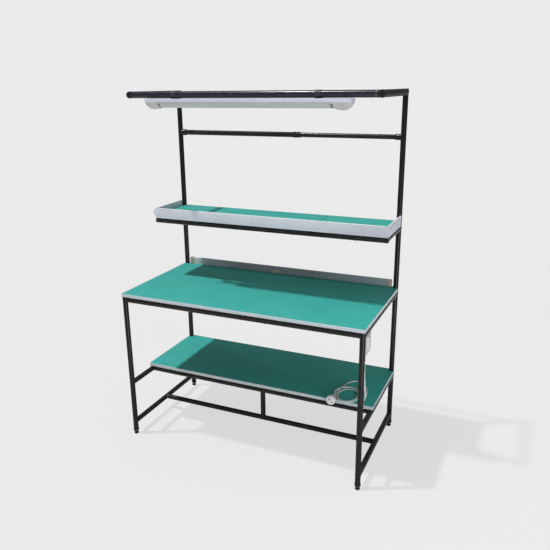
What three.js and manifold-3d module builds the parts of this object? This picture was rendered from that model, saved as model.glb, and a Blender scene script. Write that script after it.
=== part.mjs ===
// Antistatic workbench: a welded frame of black round tube that carries a matted worktop, a lower
// shelf, a lipped tray, a tool bar and a lamp, with a cable trunking along the back of the worktop
// and a switch box whose lead lies coiled on the lower shelf.
// Lengths are millimetres. The origin is on the floor at the middle of the footprint, with X to the
// right, Y to the back and Z up.

import * as THREE from "three";
import { mergeVertices } from "three/addons/utils/BufferGeometryUtils.js";
import Module from "manifold-3d";

const wasm = await Module();
wasm.setup();

// Overall sizes
const benchLength = 1200;
const benchDepth = 600;
const worktopHeight = 760;
const postHeight = 1684;

// Clearances
const seatGap = 0.3; // between pieces that touch
const overrun = 6; // how far a cutter runs past what it cuts
const edgeChamfer = 1.5; // on the feet, the gland's nut and the plug's face

// Frame tube
const tubeDiameter = 25;
const tubeWall = 1.5;
const tubeSides = 20;
const tubeRadius = tubeDiameter / 2;
const legX = benchLength / 2 - tubeRadius;
const legY = benchDepth / 2 - tubeRadius;

// Levelling feet
const footDiameter = 22;
const footHeight = 15;
const footStemDiameter = 8;
const footStemLength = 38;
const footStemClearance = 0.3;
const footGap = 3; // from the pad to the leg's ferrule
const ferruleDiameter = 28;
const ferruleHeight = 13;
const nutPlateThickness = 10;

// Boards, mats and edging
const boardThickness = 16;
const matThickness = 2;
const edgingThickness = 2;
const edgingHeight = 15.5; // from the top of the mat down, so that the board shows below it
const postNotchGap = 0.5;

// Lower shelf
const shelfBarHeight = 287; // centre of its bars
const shelfDepth = 417;

// Low stretchers
const stretcherHeight = 69;

// Tray
const trayBarHeight = 1052; // centre of its bars
const trayDepth = 274;
const trayBoardThickness = 20;
const trayLipHeight = 52;
const trayLipThickness = 8;
const trayLipNoseHeight = 31; // of the rounded nose at each end of the front lip
const trayLipNoseLift = 14.5; // from the lip's bottom
const trayLipNoseReach = 11; // past the side of the tray
const trayLipCornerCut = 10; // above the nose

// Tool bar
const toolBarDrop = 210; // from the top of the posts to the bar's centre
const toolBarThickDiameter = 25;
const toolBarThinDiameter = 22;
const toolBarWall = 1.2;
const toolBarCollarDiameter = 28;
const toolBarCollarLength = 38;
const toolBarCollarEnd = 89; // from the middle of the bench
const toolBarOverlap = 110;
const toolBarSocketLength = 24;
const toolBarSocketBase = 4;
const toolBarSocketWall = 2.6;

// Lamp frame
const lampBarSetback = 421; // from the back of the bench to the bar's centre
const lampFrameDiameter = 30;
const lampFrameRadius = lampFrameDiameter / 2;

// Lamp
const lampShift = -12.5; // its middle from the middle of the bench
const lampWidth = 70;
const lampHousingHeight = 14;
const lampHousingWall = 1.5;
const lampDiffuserSkirt = 3;
const lampDiffuserDrop = 22;
const lampDiffuserWall = 2;
const lampDiffuserSteps = 14;
const lampBodyLength = 815;
const lampTubeDiameter = 26;
const lampTubeReach = 40; // how far the tube goes into each end cap
const lampTubeDepth = 23; // from the housing's top to the tube's axis
const lampTubeShoulder = 4;
const lampEndLength = 75;
const lampEndLip = 0.8; // how far an end cap stands proud of the diffuser
const lampEndSwell = 6.5; // how much deeper it is at its middle
const lampEndWall = 2;
const lampEndRounding = 30;
const lampEndNarrowing = 0.72; // width left at the rounded tip
const lampEndShallowing = 0.34; // depth left at the rounded tip
const lampHolderWidth = 24;
const lampHolderDepth = 38;
const lampHolderThickness = 14;
const lampStrapSetback = 68; // from the end of the lamp's body
const lampStrapWidth = 26;
const lampStrapWall = 1.5;
const lampStrapFoot = 36;
const lampStrapFootThickness = 1.4;

// Trunking
const trunkingLength = 1132;
const trunkingHeight = 34;
const trunkingDepth = 17;
const trunkingWall = 1.8;
const trunkingEndLength = 25;
const trunkingEndLip = 0.8;
const trunkingEndRounding = 4;

// Switch box
const boxSize = 86;
const boxDepth = 19;
const boxWall = 2.4;
const boxPlateThickness = 4;
const rockerWidth = 38;
const rockerHeight = 60;
const rockerThickness = 6;
const rockerCrown = 0.8;
const rockerClearance = 0.8;
const rockerTilt = THREE.MathUtils.degToRad(3.5); // each way from flat

// Gland, lead and plug
const glandNutDiameter = 15;
const glandNutHeight = 8;
const glandTipDiameter = 9.5;
const glandTaperLength = 26;
const cordDiameter = 7;
const cordSides = 8;
const cordSteps = 40;
const coilSides = 6;
const coilStepsPerTurn = 24;
const plugDiameter = 43;
const plugLength = 26;
const plugRounding = 10;
const plugSides = 24;
const plugRoundingSteps = 4;
const plugReliefLength = 22;
const plugReliefDiameter = 13;
const plugReliefTipDiameter = 9;
const pinDiameter = 5;
const pinLength = 15;
const earthPinDiameter = 7;
const earthPinLength = 20;
const pinSpacing = 19;
const earthPinSetback = 22;
const pinSeat = 2; // how deep the pins are set in the body
const pinSides = 12;

// The lead's free stretch, below its straight start under the gland
const cordExitX = 583;
const cordExitY = -231;
const cordDropPoints = [
  [583, -229.5, 564],
  [583, -225, 531],
  [582.5, -216.5, 498],
  [581, -204, 466],
  [578.5, -187.5, 436],
  [574.5, -167, 407],
  [569, -144, 380],
  [562, -121, 355],
  [553.5, -100, 334],
  [548.5, -87.5, 324.8],
];

// Coil of the lead on the lower shelf: how far it reaches from its middle at each quarter turn,
// right, back, left and front in turn
const coilX = 463;
const coilY = -60;
const coilReaches = [83, 150, 52, 66, 56, 60, 44, 58, 48, 66, 60];
const coilClimbShares = [0.78, 0.84]; // where along its turns it climbs over the others
const coilExitX = 408;
const coilExitY = -90;
const coilExitSteps = 4;

// Heights that follow from the sizes above
const matTop = worktopHeight;
const boardBottom = worktopHeight - matThickness - seatGap - boardThickness;
const railHeight = boardBottom - seatGap - tubeRadius;
const shelfBoardBottom = shelfBarHeight + tubeRadius + seatGap;
const shelfTop = shelfBoardBottom + boardThickness + seatGap + matThickness;
const shelfFront = benchDepth / 2 - shelfDepth;
const shelfBarY = shelfFront + tubeRadius;
const trayBoardBottom = trayBarHeight + tubeRadius + seatGap;
const trayFront = benchDepth / 2 - trayDepth;
const trayBarY = trayFront + tubeRadius;
const lampBarY = benchDepth / 2 - lampBarSetback;
const lampBarHeight = postHeight - lampFrameRadius;
const toolBarHeight = postHeight - toolBarDrop;
const ferruleBottom = footHeight + footGap;

// Materials
const finish = (color, roughness, metalness = 0) =>
  new THREE.MeshStandardMaterial({ color, roughness, metalness });
const blackPaint = finish(0x1c1c1e, 0.4, 0.3);
const matGreen = finish(0x2f9c86, 0.6);
const boardBrown = finish(0xa98d68, 0.8);
const edgingGrey = finish(0xb9c6ca, 0.5);
const lipGrey = finish(0xb4b7c6, 0.5);
const trunkingGrey = finish(0x8c97a3, 0.5);
const trunkingBeige = finish(0xc9c3ac, 0.6);
const lampWhite = finish(0xd6d8e2, 0.4);
const diffuserWhite = finish(0xc6cac6, 0.35);
const glassWhite = finish(0xf2f2ee, 0.2);
const boxGrey = finish(0xbdc0bf, 0.5);
const rockerWhite = finish(0xe4e5e2, 0.4);
const cordGrey = finish(0xb7c4c6, 0.6);
const plugWhite = finish(0xdcdce4, 0.5);
const footBlack = finish(0x2a2a2a, 0.7);
const strapGrey = finish(0x3a3a40, 0.4, 0.5);

const bench = new THREE.Group();

function place(name, geometry, material, x = 0, y = 0, z = 0) {
  const mesh = new THREE.Mesh(geometry, material);
  mesh.name = name;
  mesh.position.set(x, y, z);
  bench.add(mesh);
  return mesh;
}

// Solids for joining and cutting

function toSolid(geometry) {
  const bare = geometry.clone();
  bare.deleteAttribute("normal");
  bare.deleteAttribute("uv");
  const merged = mergeVertices(bare);
  const corners = merged.index.array;
  const kept = [];
  for (let i = 0; i < corners.length; i += 3) {
    const [a, b, c] = [corners[i], corners[i + 1], corners[i + 2]];
    if (a !== b && b !== c && c !== a) {
      kept.push(a, b, c);
    }
  }
  return new wasm.Manifold(new wasm.Mesh({
    numProp: 3,
    vertProperties: new Float32Array(merged.attributes.position.array),
    triVerts: new Uint32Array(kept),
  }));
}

function toGeometry(solid) {
  const mesh = solid.getMesh();
  const geometry = new THREE.BufferGeometry();
  geometry.setAttribute("position", new THREE.BufferAttribute(mesh.vertProperties, 3));
  geometry.setIndex(new THREE.BufferAttribute(mesh.triVerts, 1));
  geometry.computeVertexNormals();
  return geometry;
}

function cut(geometry, ...cutters) {
  return toGeometry(cutters.reduce((body, cutter) => body.subtract(toSolid(cutter)), toSolid(geometry)));
}

function join(...geometries) {
  return toGeometry(geometries.map(toSolid).reduce((body, other) => body.add(other)));
}

// Turned pieces, built along Z from a closed profile of [radius, height]

function turned(profile, sides = tubeSides) {
  const points = profile.map(([radius, height]) => new THREE.Vector2(radius, height));
  return new THREE.LatheGeometry(points, sides).rotateX(Math.PI / 2);
}

function along(geometry, axis) {
  if (axis === "x") {
    geometry.rotateY(Math.PI / 2);
  } else if (axis === "y") {
    geometry.rotateX(-Math.PI / 2);
  }
  return geometry;
}

const unit = {
  x: new THREE.Vector3(1, 0, 0),
  y: new THREE.Vector3(0, 1, 0),
  z: new THREE.Vector3(0, 0, 1),
};

// A bar that a tube is fitted round, with its axis crossing the tube's own
function crossing(axis, diameter, centre) {
  const radius = diameter / 2 + seatGap;
  const reach = diameter + overrun;
  const bar = along(turned([[0, -reach], [radius, -reach], [radius, reach], [0, reach]]), axis);
  return bar.translate(centre.x, centre.y, centre.z);
}

// A tube from one axis to the next; an end is cut to fit round the tubes that cross it there
function pipe(axis, length, startCrossings, endCrossings, form = {}) {
  const { diameter = tubeDiameter, wall = tubeWall, crossed = tubeDiameter } = form;
  const outer = diameter / 2;
  const bore = outer - wall;
  const tube = along(turned([[bore, 0], [outer, 0], [outer, length], [bore, length], [bore, 0]]), axis);
  const end = unit[axis].clone().multiplyScalar(length);
  const cutters = [
    ...[...startCrossings].map((cross) => crossing(cross, crossed, new THREE.Vector3())),
    ...[...endCrossings].map((cross) => crossing(cross, crossed, end)),
  ];
  return cutters.length ? cut(tube, ...cutters) : tube;
}

// Legs and posts, with a ferrule and a nut plate at the bottom for the foot's stem

function leg(top, closedTop) {
  const ferruleTop = ferruleBottom + ferruleHeight;
  const plateTop = ferruleBottom + nutPlateThickness;
  const hole = footStemDiameter / 2 + footStemClearance;
  const bore = tubeRadius - tubeWall;
  const end = closedTop ? [[0, top], [0, top - tubeWall], [bore, top - tubeWall]] : [[bore, top]];
  return turned([
    [hole, ferruleBottom],
    [ferruleDiameter / 2, ferruleBottom],
    [ferruleDiameter / 2, ferruleTop],
    [tubeRadius, ferruleTop],
    [tubeRadius, top],
    ...end,
    [bore, plateTop],
    [hole, plateTop],
    [hole, ferruleBottom],
  ]);
}

function foot() {
  const pad = footDiameter / 2;
  const stem = footStemDiameter / 2;
  return turned([
    [0, 0],
    [pad - edgeChamfer, 0],
    [pad, edgeChamfer],
    [pad, footHeight],
    [stem, footHeight],
    [stem, footHeight + footStemLength],
    [0, footHeight + footStemLength],
  ]);
}

for (const [side, x] of [["left", -legX], ["right", legX]]) {
  place(`leg_front_${side}`, leg(boardBottom - seatGap, false), blackPaint, x, -legY);
  place(`post_back_${side}`, leg(postHeight, true), blackPaint, x, legY);
  place(`foot_front_${side}`, foot(), footBlack, x, -legY);
  place(`foot_back_${side}`, foot(), footBlack, x, legY);
}

// Rails, bars and stretchers of the frame

const across = 2 * legX;
const deep = 2 * legY;

place("rail_top_front", pipe("x", across, "z", "z"), blackPaint, -legX, -legY, railHeight);
place("rail_top_back", pipe("x", across, "z", "z"), blackPaint, -legX, legY, railHeight);
place("shelf_bar_front", pipe("x", across, "y", "y"), blackPaint, -legX, shelfBarY, shelfBarHeight);
place("shelf_bar_back", pipe("x", across, "z", "z"), blackPaint, -legX, legY, shelfBarHeight);
const bearerLength = legY - shelfBarY;
place("shelf_bearer", pipe("y", bearerLength, "x", "x"), blackPaint, 0, shelfBarY, shelfBarHeight);
place("stretcher_long", pipe("x", across, "y", "y"), blackPaint, -legX, 0, stretcherHeight);
const centrePostLength = shelfBarHeight - stretcherHeight;
place("centre_post", pipe("z", centrePostLength, "x", "y"), blackPaint, 0, 0, stretcherHeight);
const trayBarEnd = benchLength / 2;
place("tray_bar_front", pipe("x", benchLength, "", ""), blackPaint, -trayBarEnd, trayBarY, trayBarHeight);
place("tray_bar_back", pipe("x", across, "z", "z"), blackPaint, -legX, legY, trayBarHeight);
const lampBar = pipe("x", across, "y", "y", { diameter: lampFrameDiameter, crossed: lampFrameDiameter });
place("lamp_bar", lampBar, blackPaint, -legX, lampBarY, lampBarHeight);

const lampArmTip = lampBarY - lampFrameRadius;
const lampArmLength = legY - lampArmTip;
for (const [side, x] of [["left", -legX], ["right", legX]]) {
  place(`rail_top_${side}`, pipe("y", deep, "zx", "zx"), blackPaint, x, -legY, railHeight);
  place(`rail_shelf_${side}`, pipe("y", deep, "z", "zx"), blackPaint, x, -legY, shelfBarHeight);
  place(`stretcher_low_${side}`, pipe("y", deep, "z", "z"), blackPaint, x, -legY, stretcherHeight);
  place(`tray_arm_${side}`, pipe("y", legY - trayBarY, "x", "zx"), blackPaint, x, trayBarY, trayBarHeight);
  const lampArm = pipe("y", lampArmLength, "", "z", { diameter: lampFrameDiameter });
  place(`lamp_arm_${side}`, lampArm, blackPaint, x, lampArmTip, lampBarHeight);
}

// Tool bar: a thick length and a thin one that slides into it, each held in a socket on its post

function toolBarSocket(barDiameter) {
  const bore = barDiameter / 2 + seatGap;
  const outer = bore + toolBarSocketWall;
  const mouth = tubeRadius + toolBarSocketLength;
  const base = tubeRadius + toolBarSocketBase;
  const cup = turned([[0, 0], [outer, 0], [outer, mouth], [bore, mouth], [bore, base], [0, base]]);
  return cut(along(cup, "x"), crossing("z", tubeDiameter, new THREE.Vector3()));
}

const toolBarEnd = legX - tubeRadius - toolBarSocketBase - seatGap;
const toolBarThickLength = toolBarEnd + toolBarCollarEnd;
const toolBarBore = toolBarThinDiameter / 2 + seatGap;
const toolBarThick = turned([
  [toolBarBore, 0],
  [toolBarThickDiameter / 2, 0],
  [toolBarThickDiameter / 2, toolBarThickLength - toolBarCollarLength],
  [toolBarCollarDiameter / 2, toolBarThickLength - toolBarCollarLength],
  [toolBarCollarDiameter / 2, toolBarThickLength],
  [toolBarBore, toolBarThickLength],
  [toolBarBore, 0],
]);
const toolBarThinLength = toolBarEnd - toolBarCollarEnd + toolBarOverlap;
const toolBarThin = pipe("x", toolBarThinLength, "", "", { diameter: toolBarThinDiameter, wall: toolBarWall });
const socketRight = toolBarSocket(toolBarThinDiameter).rotateZ(Math.PI);

place("tool_bar_thick", along(toolBarThick, "x"), blackPaint, -toolBarEnd, legY, toolBarHeight);
place("tool_bar_thin", toolBarThin, blackPaint, toolBarEnd - toolBarThinLength, legY, toolBarHeight);
place("tool_bar_socket_left", toolBarSocket(toolBarThickDiameter), blackPaint, -legX, legY, toolBarHeight);
place("tool_bar_socket_right", socketRight, blackPaint, legX, legY, toolBarHeight);

// Boards and mats, notched at the back corners for the posts

function outline(points) {
  return new THREE.Shape(points.map(([x, y]) => new THREE.Vector2(x, y)));
}

function slab(points, bottom, thickness) {
  const shape = outline(points);
  return new THREE.ExtrudeGeometry(shape, { depth: thickness, bevelEnabled: false }).translate(0, 0, bottom);
}

const notchX = legX - tubeRadius - postNotchGap;
const notchY = legY - tubeRadius - postNotchGap;

function notchedOutline(halfLength, front, back) {
  return [
    [-halfLength, front],
    [halfLength, front],
    [halfLength, notchY],
    [notchX, notchY],
    [notchX, back],
    [-notchX, back],
    [-notchX, notchY],
    [-halfLength, notchY],
  ];
}

function edgingOutline(front) {
  const outer = benchLength / 2;
  const inner = outer - edgingThickness;
  return [
    [-outer, front],
    [outer, front],
    [outer, notchY],
    [inner, notchY],
    [inner, front + edgingThickness],
    [-inner, front + edgingThickness],
    [-inner, notchY],
    [-outer, notchY],
  ];
}

function mattedBoard(name, front, bottom) {
  const halfLength = benchLength / 2 - edgingThickness - seatGap;
  const board = notchedOutline(halfLength, front + edgingThickness + seatGap, benchDepth / 2);
  const matBottom = bottom + boardThickness + seatGap;
  const edgingBottom = matBottom + matThickness - edgingHeight;
  place(`${name}_board`, slab(board, bottom, boardThickness), boardBrown);
  place(`${name}_mat`, slab(board, matBottom, matThickness), matGreen);
  place(`${name}_edging`, slab(edgingOutline(front), edgingBottom, edgingHeight), edgingGrey);
}

mattedBoard("worktop", -benchDepth / 2, boardBottom);
mattedBoard("shelf", shelfFront, shelfBoardBottom);

// Tray: a matted board between a front lip and two side lips

const lipInner = benchLength / 2 - trayLipThickness - seatGap;
const trayBoard = notchedOutline(lipInner, trayFront + trayLipThickness + seatGap, benchDepth / 2);
const trayMatBottom = trayBoardBottom + trayBoardThickness + seatGap;
place("tray_board", slab(trayBoard, trayBoardBottom, trayBoardThickness), boardBrown);
place("tray_mat", slab(trayBoard, trayMatBottom, matThickness), matGreen);

// The front lip, drawn as seen from the front, with a rounded nose at each end
function frontLip() {
  const half = benchLength / 2;
  const noseRadius = trayLipNoseHeight / 2;
  const noseX = half + trayLipNoseReach - noseRadius;
  const noseZ = trayLipNoseLift + noseRadius;
  const topX = noseX - trayLipCornerCut;
  const shape = new THREE.Shape();
  shape.moveTo(-half, 0);
  shape.lineTo(half, 0);
  shape.lineTo(half, trayLipNoseLift);
  shape.absarc(noseX, noseZ, noseRadius, -Math.PI / 2, Math.PI / 2);
  shape.lineTo(topX, trayLipHeight);
  shape.lineTo(-topX, trayLipHeight);
  shape.absarc(-noseX, noseZ, noseRadius, Math.PI / 2, Math.PI * 1.5);
  shape.lineTo(-half, trayLipNoseLift);
  shape.closePath();
  return new THREE.ExtrudeGeometry(shape, { depth: trayLipThickness, bevelEnabled: false })
    .rotateX(Math.PI / 2);
}

const lipBack = trayFront + trayLipThickness;
place("tray_lip_front", frontLip(), lipGrey, 0, lipBack, trayBoardBottom);
for (const [side, sign] of [["left", -1], ["right", 1]]) {
  const outer = sign * benchLength / 2;
  const inner = outer - sign * trayLipThickness;
  const front = lipBack + seatGap;
  const sideLip = [[outer, front], [inner, front], [inner, notchY], [outer, notchY]];
  place(`tray_lip_${side}`, slab(sideLip, trayBoardBottom, trayLipHeight), lipGrey);
}

// Profiles drawn in Y and Z and drawn out along X

function drawnOut(shape, length) {
  const turn = new THREE.Matrix4().makeBasis(unit.y, unit.z, unit.x);
  return new THREE.ExtrudeGeometry(shape, { depth: length, bevelEnabled: false }).applyMatrix4(turn);
}

// Trunking along the back of the worktop, with a cap on each end

function rectangle(depth, bottom, top) {
  const half = depth / 2;
  return [[-half, bottom], [half, bottom], [half, top], [-half, top]];
}

const trunkingRoom = trunkingDepth - 2 * trunkingWall;
const trunkingShape = outline(rectangle(trunkingDepth, 0, trunkingHeight));
const trunkingBore = outline(rectangle(trunkingRoom, trunkingWall, trunkingHeight - trunkingWall));
trunkingShape.holes.push(trunkingBore);
const trunkingBodyLength = trunkingLength - 2 * trunkingEndLength;
const trunkingEndDepth = trunkingDepth + 2 * trunkingEndLip;
const trunkingY = benchDepth / 2 - trunkingEndDepth / 2;
const trunkingZ = matTop + seatGap;
const trunkingBody = drawnOut(trunkingShape, trunkingBodyLength);
place("trunking", trunkingBody, trunkingGrey, -trunkingBodyLength / 2, trunkingY, trunkingZ);

// A cap is closed at its far end and open towards the trunking
function trunkingCap() {
  const top = trunkingHeight + trunkingEndLip;
  const centre = trunkingEndDepth / 2 - trunkingEndRounding;
  const shape = new THREE.Shape();
  shape.moveTo(-trunkingEndDepth / 2, 0);
  shape.lineTo(trunkingEndDepth / 2, 0);
  shape.absarc(centre, top - trunkingEndRounding, trunkingEndRounding, 0, Math.PI / 2);
  shape.absarc(-centre, top - trunkingEndRounding, trunkingEndRounding, Math.PI / 2, Math.PI);
  shape.closePath();
  const room = new THREE.BoxGeometry(trunkingEndLength, trunkingRoom, trunkingHeight - 2 * trunkingWall);
  room.translate(trunkingEndLength / 2 - trunkingWall, 0, trunkingHeight / 2);
  return cut(drawnOut(shape, trunkingEndLength), room);
}

const capX = trunkingBodyLength / 2 + seatGap;
place("trunking_cap_right", trunkingCap(), trunkingBeige, capX, trunkingY, trunkingZ);
place("trunking_cap_left", trunkingCap().rotateZ(Math.PI), trunkingBeige, -capX, trunkingY, trunkingZ);

// Lamp, hung under its bar on two straps

const strapBottom = lampBarHeight - lampFrameRadius - seatGap - lampStrapFootThickness;
const lampTop = strapBottom - seatGap;
const lampHalf = lampWidth / 2;

const housingInner = lampHalf - lampHousingWall;
const housingShape = outline([
  [-lampHalf, -lampHousingHeight],
  [-housingInner, -lampHousingHeight],
  [-housingInner, -lampHousingWall],
  [housingInner, -lampHousingWall],
  [housingInner, -lampHousingHeight],
  [lampHalf, -lampHousingHeight],
  [lampHalf, 0],
  [-lampHalf, 0],
]);
const housing = drawnOut(housingShape, lampBodyLength);
const lampLeft = lampShift - lampBodyLength / 2;
place("lamp_housing", housing, lampWhite, lampLeft, lampBarY, lampTop);

// The lamp's underside, from one side down and round to the other
function underside(halfWidth, top, skirt, drop) {
  const points = [[halfWidth, top]];
  for (let i = 0; i <= lampDiffuserSteps; i += 1) {
    const angle = (Math.PI * i) / lampDiffuserSteps;
    points.push([halfWidth * Math.cos(angle), top - skirt - drop * Math.sin(angle)]);
  }
  points.push([-halfWidth, top]);
  return points;
}

const diffuserTop = -lampHousingHeight - seatGap;
const [innerHalf, innerDrop] = [lampHalf - lampDiffuserWall, lampDiffuserDrop - lampDiffuserWall];
const diffuserOuter = underside(lampHalf, diffuserTop, lampDiffuserSkirt, lampDiffuserDrop);
const diffuserInner = underside(innerHalf, diffuserTop, lampDiffuserSkirt, innerDrop);
const diffuser = drawnOut(outline([...diffuserOuter, ...diffuserInner.reverse()]), lampBodyLength);
place("lamp_diffuser", diffuser, diffuserWhite, lampLeft, lampBarY, lampTop);

const lampTubeLength = lampBodyLength + 2 * lampTubeReach;
const tubeEnd = lampTubeDiameter / 2;
const lampTube = turned([
  [0, 0],
  [tubeEnd - lampTubeShoulder, 0],
  [tubeEnd, lampTubeShoulder],
  [tubeEnd, lampTubeLength - lampTubeShoulder],
  [tubeEnd - lampTubeShoulder, lampTubeLength],
  [0, lampTubeLength],
]);
const lampTubeLeft = lampLeft - lampTubeReach;
place("lamp_tube", along(lampTube, "x"), glassWhite, lampTubeLeft, lampBarY, lampTop - lampTubeDepth);

// A closed form through a row of like rings of points
function loft(rings) {
  const count = rings[0].length;
  const corners = [];
  for (let i = 0; i + 1 < rings.length; i += 1) {
    for (let j = 0; j < count; j += 1) {
      const next = (j + 1) % count;
      const [a, b] = [i * count + j, i * count + next];
      corners.push(a, b, b + count, a, b + count, a + count);
    }
  }
  const face = THREE.ShapeUtils.triangulateShape(rings[0].map((p) => new THREE.Vector2(p.y, p.z)), []);
  const last = (rings.length - 1) * count;
  for (const [a, b, c] of face) {
    corners.push(c, b, a);
    corners.push(last + a, last + b, last + c);
  }
  const geometry = new THREE.BufferGeometry().setFromPoints(rings.flat());
  geometry.setIndex(corners);
  geometry.computeVertexNormals();
  return geometry;
}

// End cap of the lamp: it swells below the diffuser, then is rounded away towards its tip
const lampEndSwellShares = [0.2, 0.5];
const lampEndStepShares = [0, 0.35, 0.62, 0.82, 0.94, 1];

function lampEndForm(inset, start) {
  const half = lampHalf + lampEndLip - inset;
  const skirt = lampHousingHeight + seatGap + lampDiffuserSkirt + lampEndLip - 2 * inset;
  const straight = lampEndLength - lampEndRounding;
  const stations = [[start, 0], ...lampEndSwellShares.map((share) => [straight * share, 0])];
  for (const share of lampEndStepShares) {
    stations.push([straight + (lampEndRounding - inset) * share, 1 - Math.sqrt(1 - share * share)]);
  }
  return loft(stations.map(([x, away]) => {
    const swell = lampEndSwell * Math.sin((Math.PI * Math.max(x, 0)) / lampEndLength);
    const width = 1 - (1 - lampEndNarrowing) * away;
    const depth = 1 - (1 - lampEndShallowing) * away;
    const section = underside(half, 0, skirt, lampDiffuserDrop + swell);
    return section.reverse().map(([y, z]) => new THREE.Vector3(x, y * width, z * depth - inset));
  }));
}

function lampEnd() {
  const holder = new THREE.BoxGeometry(lampHolderThickness, lampHolderWidth, lampHolderDepth);
  holder.translate(lampTubeReach + lampHolderThickness / 2, 0, -lampEndWall / 2 - lampHolderDepth / 2);
  const shell = cut(lampEndForm(0, 0), lampEndForm(lampEndWall, -overrun));
  return join(shell, holder);
}

const lampEndRightX = lampLeft + lampBodyLength + seatGap;
const lampEndLeftX = lampLeft - seatGap;
place("lamp_end_right", lampEnd(), lampWhite, lampEndRightX, lampBarY, lampTop);
place("lamp_end_left", lampEnd().rotateZ(Math.PI), lampWhite, lampEndLeftX, lampBarY, lampTop);

// A strap goes round the bar and stands on the housing by a flat foot
function lampStrap() {
  const bore = lampFrameRadius + seatGap;
  const outer = bore + lampStrapWall;
  const band = turned([[0, 0], [outer, 0], [outer, lampStrapWidth], [0, lampStrapWidth]]);
  const sole = new THREE.BoxGeometry(lampStrapWidth, lampStrapFoot, lampStrapFootThickness);
  const soleHeight = strapBottom - lampBarHeight + lampStrapFootThickness / 2;
  sole.translate(lampStrapWidth / 2, 0, soleHeight);
  const barEnd = lampStrapWidth + overrun;
  const bar = turned([[0, -overrun], [bore, -overrun], [bore, barEnd], [0, barEnd]]);
  const skim = new THREE.BoxGeometry(lampStrapWidth + overrun, lampStrapFoot, lampStrapWall);
  skim.translate(lampStrapWidth / 2, 0, strapBottom - lampBarHeight - lampStrapWall / 2);
  return cut(join(along(band, "x"), sole), along(bar, "x"), skim);
}

const strapLeftX = lampLeft + lampStrapSetback - lampStrapWidth / 2;
const strapRightX = lampLeft + lampBodyLength - lampStrapSetback - lampStrapWidth / 2;
place("lamp_strap_right", lampStrap(), strapGrey, strapRightX, lampBarY, lampBarHeight);
place("lamp_strap_left", lampStrap(), strapGrey, strapLeftX, lampBarY, lampBarHeight);

// Switch box behind the front right leg, under the side rail

const boxTop = railHeight - tubeRadius - seatGap;
const boxFront = -legY + tubeRadius + seatGap;
const boxCentreY = boxFront + boxSize / 2;
const boxCentreZ = boxTop - boxSize / 2;
const rockerReach = rockerThickness / 2 + rockerCrown + (rockerHeight / 2) * Math.sin(rockerTilt);
const rockerX = benchLength / 2 - rockerReach - seatGap;
const plateX = rockerX - boxPlateThickness / 2;
const boxBackX = plateX - seatGap - boxDepth;

const boxBody = new THREE.BoxGeometry(boxDepth, boxSize, boxSize).translate(boxDepth / 2, 0, 0);
const boxRoom = new THREE.BoxGeometry(boxDepth, boxSize - 2 * boxWall, boxSize - 2 * boxWall);
boxRoom.translate(boxDepth / 2 + boxWall, 0, 0);
place("switch_box", cut(boxBody, boxRoom), boxGrey, boxBackX, boxCentreY, boxCentreZ);

const plate = new THREE.BoxGeometry(boxPlateThickness, boxSize, boxSize);
plate.translate(boxPlateThickness / 2, 0, 0);
const windowWidth = rockerWidth + 2 * rockerClearance;
const windowHeight = rockerHeight + 2 * rockerClearance;
const plateWindow = new THREE.BoxGeometry(boxPlateThickness + overrun, windowWidth, windowHeight);
plateWindow.translate(boxPlateThickness / 2, 0, 0);
place("switch_plate", cut(plate, plateWindow), boxGrey, plateX, boxCentreY, boxCentreZ);

// The rocker is drawn switched off, with its top tilted in about its pivot
const rockerFace = rockerThickness / 2;
const rockerProfile = new THREE.Shape();
rockerProfile.moveTo(-rockerFace, -rockerHeight / 2);
rockerProfile.lineTo(rockerFace, -rockerHeight / 2);
rockerProfile.lineTo(rockerFace + rockerCrown, 0);
rockerProfile.lineTo(rockerFace, rockerHeight / 2);
rockerProfile.lineTo(-rockerFace, rockerHeight / 2);
rockerProfile.closePath();
const rocker = new THREE.ExtrudeGeometry(rockerProfile, { depth: rockerWidth, bevelEnabled: false });
rocker.rotateX(Math.PI / 2).translate(0, rockerWidth / 2, 0);
place("switch_rocker", rocker, rockerWhite, rockerX, boxCentreY, boxCentreZ).rotation.y = -rockerTilt;

// Gland under the box: a nut and a tapered strain relief

const glandLength = glandNutHeight + glandTaperLength;
const gland = turned([
  [0, -glandLength],
  [glandTipDiameter / 2, -glandLength],
  [glandNutDiameter / 2 - edgeChamfer, -glandNutHeight],
  [glandNutDiameter / 2, -glandNutHeight],
  [glandNutDiameter / 2, 0],
  [0, 0],
]);
const glandTop = boxCentreZ - boxSize / 2 - seatGap;
place("cord_gland", gland, cordGrey, cordExitX, cordExitY, glandTop);

// Lead: a tube swept along a smooth curve through its points

function sweep(points, sides, steps) {
  const section = new THREE.Shape();
  for (let i = 0; i < sides; i += 1) {
    const angle = (2 * Math.PI * i) / sides;
    const [x, y] = [(cordDiameter / 2) * Math.cos(angle), (cordDiameter / 2) * Math.sin(angle)];
    section[i ? "lineTo" : "moveTo"](x, y);
  }
  section.closePath();
  const extrudePath = new THREE.CatmullRomCurve3(points);
  return new THREE.ExtrudeGeometry(section, { steps, bevelEnabled: false, extrudePath });
}

const cordRest = shelfTop + seatGap + cordDiameter / 2;
const plugZ = shelfTop + seatGap + plugReliefDiameter / 2;
const coilCross = cordRest + cordDiameter + 2 * seatGap; // height at which a turn crosses the others

const coilQuarters = coilReaches.length - 1;
const [climbStart, climbEnd] = coilClimbShares.map((share) => share * coilQuarters);

// A point of the coil, by the number of quarter turns so far
function coilPoint(quarters) {
  const angle = (quarters * Math.PI) / 2;
  const before = Math.min(Math.floor(quarters), coilQuarters - 1);
  const [reachX, reachY] = [0, 1].map((side) => coilReaches[before + ((before + side) % 2)]);
  const climb = THREE.MathUtils.smoothstep(quarters, climbStart, climbEnd);
  return new THREE.Vector3(
    coilX + reachX * Math.cos(angle),
    coilY + reachY * Math.sin(angle),
    THREE.MathUtils.lerp(cordRest, coilCross, climb),
  );
}

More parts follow.
